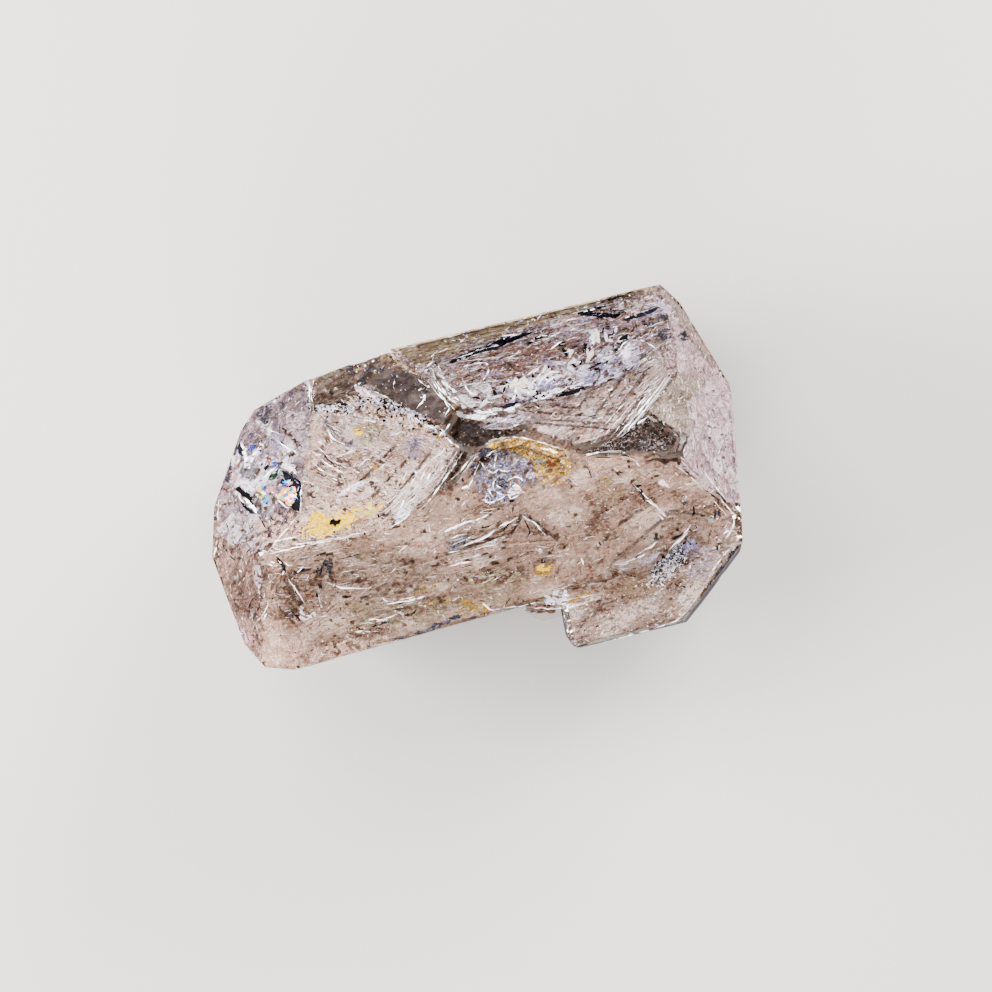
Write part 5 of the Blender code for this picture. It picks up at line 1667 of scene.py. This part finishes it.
    ([(2.9, -4.3), (3.9, -5.7), (4.3, -6.6)], 0.1, 0.0), ([(8.9, -0.8), (10.5, -0.8)], 0.14, 0.0),
    ([(-3.2, -6.9), (-1.3, -6.8)], 0.09, 0.0), ([(-18.0, -3.3), (-17.8, -3.6)], 0.14, 0.0),
    ([(-18.0, -4.6), (-17.7, -4.3)], 0.16, 0.0),
    ([(-17.6, -3.5), (-17.3, -3.9), (-16.9, -4.0)], 0.08, 0.0),
    ([(-19.5, -3.1), (-18.6, -3.7)], 0.12, 0.0), ([(-21.6, -3.3), (-21.5, -3.5)], 0.16, 0.0),
    ([(-17.2, -5.6), (-17.4, -6.1), (-17.2, -7.0)], 0.09, 0.0),
    ([(-13.8, -6.5), (-13.3, -6.8), (-11.6, -7.3)], 0.11, 0.0),
    ([(-14.7, -5.9), (-14.1, -6.3)], 0.12, 0.0), ([(-9.1, -6.5), (-8.5, -6.2)], 0.12, 0.0),
    ([(-8.2, -9.1), (-7.5, -9.2), (-6.8, -9.1)], 0.16, 0.0),
    ([(-10.2, -8.0), (-10.3, -8.7), (-9.4, -9.0)], 0.07, 0.0), ([(-9.6, -9.7), (-9.0, -10.3)], 0.09, 0.0),
    ([(-12.0, -9.9), (-10.3, -10.4)], 0.13, 0.0), ([(-12.6, -10.1), (-11.3, -10.4)], 0.1, 0.0),
    ([(-13.4, -10.7), (-12.4, -10.8), (-11.3, -11.2)], 0.12, 0.0),
    ([(-13.5, -5.6), (-11.6, -5.5)], 0.08, 0.0),
    ([(-19.5, -6.1), (-19.9, -6.9), (-20.5, -7.5), (-21.3, -8.0)], 0.1, 0.0),
    ([(-20.1, -7.4), (-20.5, -7.9)], 0.12, 0.0),
    ([(-16.9, -5.0), (-16.6, -4.6), (-15.9, -4.2)], 0.07, 0.0),
    ([(-15.4, -6.8), (-15.5, -7.4), (-15.4, -8.1)], 0.07, 0.0), ([(-3.9, -4.2), (-2.2, -3.9)], 0.12, 0.0),
    ([(-1.7, -4.0), (-0.4, -3.8), (0.4, -3.5)], 0.1, 0.0),
    ([(-3.0, -5.8), (-1.2, -5.5), (0.2, -5.1)], 0.12, 0.0), ([(0.5, -5.1), (2.4, -4.5)], 0.11, 0.0),
    ([(-4.1, -6.0), (-2.7, -6.1)], 0.1, 0.0), ([(-1.5, -6.3), (1.2, -5.8)], 0.1, 0.0),
    ([(-4.3, -7.2), (-3.5, -7.1), (-2.4, -7.2), (-1.6, -7.1), (-0.9, -7.2)], 0.13, 0.0),
    ([(-2.3, -4.4), (-1.8, -4.6), (-1.6, -4.3)], 0.16, 0.0),
    ([(2.8, -4.3), (3.0, -4.8), (3.6, -5.3), (4.1, -5.9)], 0.1, 0.0),
    ([(-2.3, -10.8), (-1.9, -11.4), (-1.3, -11.8)], 0.1, 0.0),
    ([(1.1, -12.1), (4.2, -13.1), (7.6, -12.8)], 0.12, 0.0),
    ([(6.7, -8.0), (7.4, -7.6), (8.2, -7.5), (8.4, -7.8)], 0.1, 0.0),
    ([(6.7, -9.0), (6.9, -9.6), (6.5, -10.2)], 0.12, 0.0), ([(3.6, -11.7), (4.2, -12.6)], 0.1, 0.0),
    ([(13.2, -5.7), (13.5, -5.9), (14.0, -6.5)], 0.14, 0.0), ([(14.1, -6.4), (14.5, -7.5)], 0.12, 0.0),
    ([(13.8, -6.9), (14.1, -7.3), (14.2, -7.6)], 0.08, 0.0), ([(18.7, -7.0), (19.5, -8.5)], 0.1, 0.0),
    ([(16.1, -9.1), (15.0, -9.8), (14.4, -10.3)], 0.16, 0.0),
    ([(9.3, -10.3), (9.9, -10.5), (10.6, -10.5)], 0.12, 0.0),
    ([(9.6, -10.7), (10.3, -11.0), (11.3, -10.9)], 0.08, 0.0),
    ([(12.8, -12.7), (13.1, -13.1)], 0.14, 0.0),
    ([(18.9, -10.0), (19.4, -9.7), (19.9, -10.0)], 0.12, 0.0),
    ([(20.3, -10.4), (17.9, -12.3), (16.7, -13.6)], 0.1, 0.0),
    ([(16.4, -14.0), (14.1, -16.2), (12.1, -16.5), (6.6, -16.9)], 0.09, 0.0),
    ([(18.4, -4.3), (18.8, -5.4), (19.8, -7.2)], 0.12, 0.0),
    ([(19.2, -6.6), (19.6, -7.7), (20.2, -8.7)], 0.08, 0.0), ([(-3.3, 7.9), (-3.0, 8.0)], 0.2, 0.0),
    ([(-3.3, 7.3), (-3.0, 7.1)], 0.2, 0.0), ([(-3.8, 6.5), (-3.1, 6.9)], 0.14, 0.0),
    ([(-7.3, 11.0), (-7.2, 11.2)], 0.16, 0.0), ([(-6.6, 10.5), (-6.4, 10.5)], 0.14, 0.0),
    ([(-5.9, 10.5), (-5.7, 10.7)], 0.16, 0.0), ([(-6.6, 11.3), (-6.4, 11.4)], 0.14, 0.0),
    ([(-5.1, 9.3), (-5.3, 8.6)], 0.08, 0.0), ([(-4.9, 11.7), (-4.7, 11.4)], 0.2, 0.0),
    ([(-2.9, 9.5), (-1.4, 10.1)], 0.14, 0.0), ([(-1.6, 10.5), (-1.1, 10.8)], 0.16, 0.0),
    ([(-0.9, 10.7), (0.9, 11.0)], 0.1, 0.0), ([(-12.2, 10.7), (-12.5, 9.1)], 0.16, 0.0),
    ([(-3.2, 9.3), (-2.4, 9.5), (-1.6, 9.5), (-1.8, 8.8)], 0.09, 0.0),
    ([(-3.1, 8.9), (-2.7, 8.3), (-2.1, 7.9)], 0.1, 0.0),
    ([(-1.8, 8.5), (-1.5, 7.5), (-0.5, 6.1)], 0.12, 0.0),
    ([(-2.3, 8.6), (-1.9, 7.4), (-1.2, 6.4)], 0.09, 0.0),
    ([(-11.4, 8.2), (-10.5, 8.1), (-9.9, 7.7), (-9.1, 7.8)], 0.12, 0.0),
]

FINE_DARK = [
    # path, width, depth
    ([(-1.7, 9.8), (-1.6, 9.0), (-1.3, 8.1), (-0.3, 6.8)], 0.14, 0.03),
    ([(0.9, 5.3), (1.5, 5.3)], 0.12, 0.03), ([(9.5, 9.6), (10.4, 9.6), (11.2, 9.4)], 0.09, 0.05),
    ([(8.9, 8.8), (9.7, 8.8)], 0.1, 0.05), ([(7.6, 1.6), (10.2, 1.7)], 0.09, 0.03),
    ([(11.4, 6.6), (12.5, 7.5), (13.5, 8.1)], 0.08, 0.05),
    ([(11.2, -0.1), (14.5, 2.1), (15.8, 3.2)], 0.07, 0.03),
    ([(11.6, -0.4), (13.4, 0.4), (14.9, 1.3)], 0.09, 0.0), ([(-16.0, 4.2), (-14.6, 2.6)], 0.16, 0.0),
    ([(-19.0, 1.3), (-18.8, 0.4), (-18.5, -0.4), (-18.1, -1.0)], 0.16, 0.05),
    ([(-15.7, 6.5), (-15.3, 6.0)], 0.16, 0.03), ([(-15.5, 5.2), (-15.1, 5.4), (-14.7, 5.2)], 0.08, 0.03),
    ([(-17.9, 0.5), (-17.7, 0.0), (-17.4, 0.1)], 0.14, 0.03),
    ([(-17.0, -0.2), (-17.0, -0.4)], 0.14, 0.03), ([(-16.5, -0.1), (-16.7, -0.5)], 0.12, 0.03),
    ([(-20.5, 2.1), (-20.3, 0.1)], 0.16, 0.08), ([(-21.9, 2.0), (-21.8, -0.2)], 0.14, 0.08),
    ([(-20.0, 1.4), (-19.8, -0.7)], 0.12, 0.08), ([(-14.8, 4.1), (-14.7, 3.5)], 0.12, 0.03),
    ([(-14.3, 2.4), (-14.0, 2.2)], 0.16, 0.05), ([(-12.7, 5.2), (-12.0, 3.9), (-11.1, 3.0)], 0.12, 0.03),
    ([(-13.6, 4.7), (-12.8, 3.6), (-11.9, 2.7)], 0.08, 0.03),
    ([(-7.0, 4.9), (-6.5, 4.6), (-6.0, 4.7)], 0.11, 0.03), ([(-10.0, 8.6), (-9.8, 8.2)], 0.3, 0.0),
    ([(-6.9, 7.1), (-6.6, 6.7)], 0.2, 0.0), ([(-5.6, 6.4), (-5.5, 6.1)], 0.2, 0.0),
    ([(-6.2, 2.5), (-6.0, 2.2)], 0.2, 0.05), ([(-2.0, 3.3), (-1.8, 3.0)], 0.2, 0.03),
    ([(-5.7, -1.8), (-5.3, -1.7)], 0.12, 0.03), ([(1.7, -4.6), (1.1, -5.2), (0.4, -5.5)], 0.1, 0.04),
    ([(-1.8, -4.6), (-0.6, -4.7), (0.6, -4.5)], 0.14, 0.05), ([(-3.0, -5.3), (-2.0, -5.2)], 0.1, 0.05),
    ([(8.8, -1.5), (9.1, -2.2), (9.1, -2.8)], 0.1, 0.03),
    ([(8.4, -0.2), (8.9, -0.2), (9.2, -0.5)], 0.22, 0.03), ([(2.8, -4.6), (3.1, -6.0)], 0.12, 0.08),
    ([(2.2, -3.5), (2.0, -4.1)], 0.14, 0.06), ([(-1.4, -0.2), (-1.3, -0.7)], 0.22, 0.05),
    ([(-13.5, -4.3), (-12.3, -4.4), (-10.6, -4.3)], 0.1, 0.05),
    ([(-19.6, -5.3), (-20.1, -5.6), (-20.7, -5.8)], 0.14, 0.05),
    ([(-20.7, -5.8), (-21.2, -6.2), (-21.6, -6.7)], 0.12, 0.05),
    ([(-22.6, -0.9), (-22.3, -1.7)], 0.16, 0.06), ([(-22.2, -1.9), (-21.8, -2.5)], 0.14, 0.06),
    ([(-21.7, -0.8), (-21.3, -1.5)], 0.12, 0.06), ([(-20.7, -2.1), (-20.3, -1.8)], 0.12, 0.06),
    ([(-20.2, -6.3), (-21.5, -7.8)], 0.09, 0.05), ([(-17.1, -6.9), (-17.0, -6.9)], 0.2, 0.0),
    ([(-14.1, -9.3), (-13.9, -9.3)], 0.16, 0.0), ([(-17.3, -11.4), (-17.1, -11.3)], 0.14, 0.0),
    ([(-18.7, -11.2), (-18.5, -11.2)], 0.14, 0.0), ([(-15.6, -6.6), (-15.6, -7.1)], 0.16, 0.05),
    ([(-14.3, -5.7), (-13.4, -6.2), (-12.8, -6.7)], 0.12, 0.08),
    ([(-20.1, -8.1), (-19.7, -8.9)], 0.12, 0.08), ([(-4.0, -6.4), (-1.9, -6.4)], 0.08, 0.05),
    ([(-3.9, -7.5), (-2.0, -7.5)], 0.09, 0.05), ([(-1.4, -5.7), (-0.3, -5.5), (0.7, -5.1)], 0.09, 0.05),
    ([(2.8, -4.9), (3.1, -5.5), (3.0, -6.1), (2.5, -6.6)], 0.1, 0.05),
    ([(2.4, -5.0), (1.8, -5.4), (1.1, -5.7)], 0.09, 0.05), ([(8.5, -8.0), (8.6, -8.6)], 0.12, 0.04),
    ([(9.5, -9.4), (9.7, -9.6), (10.1, -9.6), (10.2, -9.3)], 0.1, 0.04),
    ([(-0.5, -11.5), (0.2, -11.0)], 0.1, 0.02), ([(2.1, -12.1), (3.1, -12.4), (3.7, -12.7)], 0.08, 0.02),
    ([(10.6, -10.4), (11.8, -9.9)], 0.1, 0.03), ([(10.4, -11.5), (11.0, -11.8)], 0.18, 0.04),
    ([(13.8, -13.0), (14.4, -13.5), (14.9, -13.7)], 0.14, 0.04),
    ([(11.3, -14.8), (12.2, -15.2), (13.2, -15.4)], 0.09, 0.05), ([(-2.9, 9.3), (-1.5, 9.8)], 0.12, 0.02),
    ([(-1.4, 10.0), (-1.2, 9.4), (-1.2, 8.7)], 0.14, 0.03),
    ([(-10.4, 8.5), (-10.0, 8.5), (-9.8, 8.2)], 0.24, 0.03), ([(-9.2, 7.5), (-9.1, 7.1)], 0.2, 0.03),
    ([(-5.7, 9.1), (-5.1, 9.4)], 0.1, 0.03),
]
LINE_SETS = [
    # name, finish, wander, then guides, count, span, widths, depths and rows of each group
    # White lines carry a painted reflection of the lamp and a painted glow; dark lines are painted shade.
    ("window_white_lines", "crack_painted_reflection", 0.14, [
        (WINDOW_GUIDES, 110, (0.02, 0.14), (0.04, 0.10), (0.0, 0.5), (0.1, 1.0))]),
    ("window_lilac_lines", "lilac_crack", 0.14, [
        (WINDOW_GUIDES, 80, (0.02, 0.13), (0.06, 0.14), (0.2, 0.6), (0.2, 0.8))]),
    ("window_dark_lines", "brown_crack_shade", 0.04, [
        (WINDOW_GUIDES, 80, (0.02, 0.12), (0.05, 0.12), (0.1, 0.6))]),
    ("stack_lines", "crack_painted_reflection", 0.04, [
        (STACK_GUIDES, 9, (0.6, 1.0), (0.06, 0.12), (0.0, 0.2))]),
    ("frame_white_lines", "crack_painted_reflection", 0.04, [
        (FRAME_GUIDES, 60, (0.04, 0.16), (0.04, 0.09), (0.0, 0.4), (0.0, 0.8)),
        (FRAME_EDGE_GUIDES, 60, (0.06, 0.3), (0.04, 0.1), (0.0, 0.4), (0.0, 0.55))]),
    ("frame_dark_lines", "brown_crack_shade", 0.04, [
        (FRAME_GUIDES, 40, (0.03, 0.12), (0.04, 0.09), (0.1, 0.5))]),
    ("near_white_lines", "crack_painted_reflection", 0.04, [
        (NEAR_GUIDES, 120, (0.01, 0.05), (0.03, 0.07), (0.0, 0.4))]),
    ("near_dark_lines", "brown_crack_shade", 0.04, [
        (NEAR_GUIDES, 60, (0.01, 0.04), (0.03, 0.07), (0.1, 0.5))]),
]


class QUARTZ_OT_lines(bpy.types.Operator):
    """Add the growth lines and cracks"""

    bl_idname = "quartz.lines"
    bl_label = "Growth lines"

    def execute(self, context):
        rng = random.Random(context.scene.quartz_inside.seed)
        for name, finish, wander, groups in LINE_SETS:
            lines = []
            for group in groups:
                lines += between_guides(rng, *group)
            strokes(name, lines, inclusion(finish), wander=wander)
        return {"FINISHED"}


DARK_STREAKS = [
    # path, width, depth
    ([(-18.1, -3.0), (-17.7, -3.9), (-17.5, -4.6)], 0.16, 0.35),
    ([(-18.4, -5.2), (-18.0, -4.6), (-17.7, -4.0)], 0.1, 0.3),
    ([(-15.0, -5.4), (-14.6, -4.7), (-14.1, -4.2)], 0.26, 0.35),
    ([(-13.9, -4.5), (-13.2, -4.6), (-12.3, -4.4)], 0.2, 0.35),
    ([(-18.4, -8.1), (-17.8, -8.1), (-17.3, -8.3)], 0.14, 0.35),
    ([(-12.5, -10.6), (-11.0, -10.5), (-9.8, -10.6)], 0.18, 0.3),
    ([(-8.9, -10.2), (-8.2, -10.0), (-7.6, -10.0)], 0.2, 0.3),
    ([(9.3, -1.2), (10.6, -1.3), (11.6, -1.6), (12.6, -2.3)], 0.13, 0.15),
    ([(11.6, -1.5), (12.6, -1.6), (13.2, -2.3)], 0.13, 0.15), ([(10.9, -2.3), (11.6, -3.3)], 0.2, 0.2),
    ([(12.2, -4.0), (12.7, -4.6), (13.1, -5.3)], 0.13, 0.2),
]
WHITE_CRACKS = [
    # path, width, depth
    ([(0.9, 2.0), (2.0, 2.35), (3.5, 2.2), (5.0, 1.6), (6.6, 0.6), (7.6, 0.0)], 0.11, -0.01),
    ([(9.0, -0.9), (10.2, -0.85), (11.2, -0.95), (11.9, -1.2), (12.4, -1.4)], 0.14, -0.01),
    ([(12.2, -1.3), (12.8, -2.0), (13.3, -2.8)], 0.1, -0.01),
    ([(13.4, -5.5), (13.9, -6.5), (14.5, -7.4)], 0.09, 0.0),
    ([(12.5, -4.2), (13.1, -5.2), (13.4, -5.6)], 0.07, 0.0),
    ([(-1.9, -11.6), (0.3, -11.8), (2.2, -12.0), (4.2, -12.3), (7.7, -12.5)], 0.1, 0.0),
    ([(-18.4, -2.1), (-14.0, -2.6), (-9.3, -2.7)], 0.08, 0.0),
    ([(-18.9, -2.6), (-18.4, -2.1), (-15.2, 0.2)], 0.09, 0.0),
    ([(-16.8, -7.4), (-17.1, -6.2), (-17.6, -4.9)], 0.08, 0.0),
    ([(-14.4, -6.2), (-12.8, -7.0), (-11.0, -7.4)], 0.1, 0.0),
    ([(-10.2, -9.0), (-8.8, -9.1), (-7.4, -9.3)], 0.12, 0.0), ([(-9.0, -8.9), (-7.6, -9.0)], 0.09, 0.0),
    ([(-11.5, -10.3), (-10.2, -10.2), (-9.4, -10.1)], 0.08, 0.0),
    ([(-8.0, -5.0), (-7.4, -4.7), (-7.0, -4.6)], 0.08, 0.0),
    ([(9.7, -10.4), (11.3, -10.3), (12.3, -10.0)], 0.16, 0.0),
    ([(11.5, -9.9), (12.6, -9.6), (13.4, -9.3)], 0.18, 0.0),
    ([(14.2, -10.2), (15.2, -9.6), (16.4, -8.6)], 0.16, 0.0),
    ([(16.2, -3.4), (17.4, -4.9), (18.0, -5.9)], 0.09, 0.0),
    ([(19.9, -8.4), (20.1, -9.4), (19.0, -10.4)], 0.1, 0.0),
]
# Dark films of painted shade under the hollow faces, in the centre slots and in the notch.
WINDOW_FILMS = [
    # name, outline, depth, finish, gaps, grain, ragged
    ("film_painted_shade", SHADED_HOLLOW_FACE, 0.7, "painted_shade_film", 0.04, 0.7, 0.15),
    ("film_painted_shade_dark", SHADED_HOLLOW_DARK, 0.5, "painted_deep_shade", 0.03, 0.8, 0.1),
    ("film_painted_shade_corner", SHADED_HOLLOW_CORNER, 0.6, "painted_window_shade", 0.12, 0.5, 0.3),
    ("film_centre", BUTTERFLY, 0.3, "painted_window_shade", 0.03, 0.5, 0.08),
    ("film_slot_0", SLOTS[0], 0.25, "painted_window_shade", 0.0, 0.5, 0.05),
    ("film_slot_1", SLOTS[1], 0.25, "painted_window_shade", 0.0, 0.5, 0.05),
    ("film_notch", RIGHT_NOTCH, 0.3, "notch_shade_film", 0.03, 0.4, 0.08),
]


class QUARTZ_OT_windows(bpy.types.Operator):
    """Add the dark films of painted shade under the hollow faces, and the dark gaps, which are painted
    shade too
    """

    bl_idname = "quartz.windows"
    bl_label = "Dark windows"

    def execute(self, context):
        for name, outline, depth, finish, gaps, grain, ragged in WINDOW_FILMS:
            lace(
                name, outline, depth, inclusion(finish), open_share=gaps, grain=grain,
                ragged=ragged,
            )
        # Dark streaks and fine dark gaps are painted shade.
        gap = inclusion("gap_painted_shade")
        strokes("dark_streaks", DARK_STREAKS, gap, wander=0.12)
        strokes("fine_dark_gaps", FINE_DARK, gap, step=0.12, wander=0.09)
        return {"FINISHED"}


class QUARTZ_OT_cracks(bpy.types.Operator):
    """Add the bright cracks, edges and step lines, white with a painted highlight and a painted glow"""

    bl_idname = "quartz.cracks"
    bl_label = "Bright cracks"

    def execute(self, context):
        # Painted highlight: white with a painted glow, for edges and cracks that catch the lamp.
        white = inclusion("edge_painted_highlight")
        strokes("bright_cracks", WHITE_CRACKS, white, wander=0.08)
        strokes("fine_bright_cracks", FINE_WHITE, white, step=0.12, wander=0.09)
        return {"FINISHED"}


SMALL_STAINS = [
    # x, y, long radius, short radius, turn
    (-3.4, -10.9, 1.7, 0.4, 3), (10.0, -3.4, 0.9, 0.5, -40), (-6.2, -8.6, 1.8, 0.4, 3),
    (-5.6, -9.9, 1.6, 0.35, 0),
]


class QUARTZ_OT_stains(bpy.types.Operator):
    """Add the ochre stained films"""

    bl_idname = "quartz.stains"
    bl_label = "Ochre stains"

    def execute(self, context):
        ochre = inclusion("iron_ochre")
        lace("stain_arch", OCHRE_ARCH, 0.15, ochre, open_share=0.1, grain=0.4, ragged=0.2)
        lace("stain_lobe", OCHRE_LOBE, 0.35, ochre, open_share=0.18, grain=0.4)
        lace(
            "stain_yellow", YELLOW_PATCH, 0.2, inclusion("yellow_ochre"), cell=0.09,
            open_share=0.3, grain=0.3, stretch=1.6, ragged=0.5,
        )
        for number, place in enumerate(SMALL_STAINS):
            lace(
                f"stain_small_{number}", oval(*place), 0.3, inclusion("olive_ochre"), cell=0.1,
                open_share=0.45, grain=0.25, ragged=0.4, seed=number * 2.3,
            )
        return {"FINISHED"}


FLAKE_BAND = [
    (12.1, -11.5), (13.6, -10.8), (15.2, -10.2), (16.0, -10.2), (15.3, -11.4), (13.9, -12.5),
    (12.6, -12.6),
]
LONG_GAP = [(-0.2, 9.5), (3.8, 10.5), (7.2, 10.7), (5.1, 10.1), (1.1, 9.6)]
TOP_GAP = [(11.4, 11.2), (14.0, 11.2), (18.0, 10.1), (15.0, 9.7), (11.7, 10.8)]
GRAINY = [
    # outline, white specks
    (WINDOW, 420), (FRAME_FACE, 320), (NEAR_FACE, 620), (SIDE_CRYSTAL, 120), (RIGHT_END, 130),
    (LEFT_END, 160), (LEFT_SIDE, 30), (SHADED_HOLLOW_FACE, 90), (BUTTERFLY, 14), (RIGHT_NOTCH, 60),
]
DASHES = [
    # outline, direction, spread, white, lilac, brown, black
    (WINDOW, 5.0, 25.0, 220, 130, 80, 80),
    (FRAME_FACE, -35.0, 30.0, 220, 60, 60, 30),
    (LEFT_END, 30.0, 60.0, 90, 70, 30, 40),
    (LEFT_SIDE, 75.0, 20.0, 30, 20, 70, 20),
    (NEAR_FACE, 8.0, 45.0, 160, 40, 170, 40),
    (SIDE_CRYSTAL, 15.0, 40.0, 70, 40, 90, 40),
    (RIGHT_END, 72.0, 25.0, 150, 70, 50, 12),
    (FLAKE_BAND, 30.0, 30.0, 90, 60, 20, 150),
    (LONG_GAP, 12.0, 6.0, 26, 20, 0, 0),
    (TOP_GAP, 6.0, 10.0, 16, 12, 0, 0),
]
WHITE, LILAC, BROWN, BLACK = range(4)
GRAIN_FINISHES = ("white_grain", "lilac_grain", "brown_grain", "black_grain")
DARK_SPECKS = [
    # outline, count, sizes, depths, finishes
    (NEAR_FACE, 300, (0.04, 0.09), (0.0, 0.5), [BROWN, BLACK]),
    (WINDOW, 60, (0.04, 0.09), (0.0, 0.5), [BROWN, BLACK]),
    (FRAME_FACE, 60, (0.04, 0.09), (0.0, 0.5), [BROWN, BLACK]),
    (LEFT_SIDE, 60, (0.04, 0.09), (0.0, 0.5), [BROWN, BLACK]),
    (oval(-16.0, -7.9, 1.5, 0.75), 90, (0.05, 0.12), (0.0, 0.4), [BROWN, BROWN, WHITE]),
    (oval(-12.0, -10.9, 2.2, 1.1), 90, (0.05, 0.12), (0.0, 0.4), [BROWN, BROWN, WHITE]),
    (oval(12.5, -12.4, 1.6, 0.8), 90, (0.05, 0.12), (0.0, 0.4), [BROWN, BROWN, WHITE]),
]
CRUMBLY_EDGE = [(-12.3, 8.5), (-9.8, 7.6), (-7.4, 8.3), (-5.5, 7.0), (-3.5, 5.2), (-2.0, 3.4)]
FLAKES = [
    # outline, count, sizes, depths, tilt, finishes, stretch
    ([(-12.0, 8.3), (-7.0, 8.6), (-3.2, 5.4), (-4.4, 4.6), (-8.0, 6.6), (-11.6, 6.6)],
     260, (0.1, 0.3), (0.05, 0.5), 50.0, [WHITE, LILAC, WHITE, BROWN, BLACK]),
    (oval(13.9, -11.3, 2.6, 0.8, 30),
     110, (0.1, 0.26), (0.02, 0.4), 50.0, [WHITE, LILAC, LILAC, BLACK]),
    (oval(3.9, -11.9, 1.1, 0.6, 10), 60, (0.12, 0.3), (0.0, 0.3), 50.0, [WHITE, WHITE, LILAC]),
    ([(-0.4, 6.2), (4.0, 4.8), (11.0, 5.0), (16.0, 8.5), (14.0, 9.5), (6.0, 7.0)],
     140, (0.15, 0.45), (0.05, 0.5), 40.0, [WHITE, WHITE, LILAC, BLACK], (1.5, 3.5)),
]


class QUARTZ_OT_grains(bpy.types.Operator):
    """Add the crumbly edge, flakes, dust and black specks"""

    bl_idname = "quartz.grains"
    bl_label = "Grains and dust"

    def execute(self, context):
        settings = context.scene.quartz_inside
        rng = random.Random(settings.seed + 2)
        finishes = [inclusion(name) for name in GRAIN_FINISHES]
        share = settings.dust_count / FULL_DUST
        dust, dashes, dark, flakes = [], [], [], []
        for outline, count in GRAINY:
            dust += speck_places(
                rng, outline, int(share * count), (0.05, 0.10), (-0.01, 0.35),
                [WHITE, WHITE, LILAC],
            )
        repeated("white_dust", "speck", dust, finishes, 0.2)
        for outline, direction, spread_angle, *counts in DASHES:
            for finish, count in enumerate(counts):
                dashes += line_places(
                    rng, outline, count, direction, spread_angle, (0.1, 0.5), (0.04, 0.09),
                    (-0.005, 0.35), [finish],
                )
        repeated("dashes", "spindle", dashes, finishes, 0.12)
        for row in DARK_SPECKS:
            dark += speck_places(rng, *row)
        repeated("dark_specks", "speck", dark, finishes, 0.2)
        for x, y in resampled(CRUMBLY_EDGE, 0.14):
            flakes += flake_places(
                rng, oval(x, y, 0.5, 0.35), 5, (0.12, 0.32), (0.02, 0.4), 60.0,
                [WHITE, WHITE, LILAC, BROWN, BLACK],
            )
        for row in FLAKES:
            flakes += flake_places(rng, *row)
        repeated("flakes", "flake", flakes, finishes, 0.25)
        return {"FINISHED"}


class QUARTZ_PT_panel(bpy.types.Panel):
    bl_label = "Skeletal quartz"
    bl_space_type = "VIEW_3D"
    bl_region_type = "UI"
    bl_category = "Quartz"

    def draw(self, context):
        scene = context.scene
        for group in (scene.quartz_stage, scene.quartz_body, scene.quartz_inside):
            for name in group.__annotations__:
                self.layout.prop(group, name)
        for operator in OPERATORS:
            self.layout.operator(operator.bl_idname)


GROUPS = {
    "quartz_stage": StageSettings,
    "quartz_body": BodySettings,
    "quartz_inside": InsideSettings,
}
OPERATORS = [
    QUARTZ_OT_stage, QUARTZ_OT_body, QUARTZ_OT_veils, QUARTZ_OT_windows, QUARTZ_OT_patches,
    QUARTZ_OT_plates, QUARTZ_OT_lines, QUARTZ_OT_cracks, QUARTZ_OT_stains, QUARTZ_OT_grains,
]


def register():
    noise.seed_set(NOISE_SEED)
    for group in GROUPS.values():
        bpy.utils.register_class(group)
    for operator in OPERATORS:
        bpy.utils.register_class(operator)
    bpy.utils.register_class(QUARTZ_PT_panel)
    for name, group in GROUPS.items():
        setattr(bpy.types.Scene, name, bpy.props.PointerProperty(type=group))


def unregister():
    for name in GROUPS:
        delattr(bpy.types.Scene, name)
    bpy.utils.unregister_class(QUARTZ_PT_panel)
    for operator in reversed(OPERATORS):
        bpy.utils.unregister_class(operator)
    for group in reversed(list(GROUPS.values())):
        bpy.utils.unregister_class(group)


def main():
    register()
    for operator in OPERATORS:
        family, name = operator.bl_idname.split(".")
        getattr(getattr(bpy.ops, family), name)()


if __name__ == "__main__":
    main()
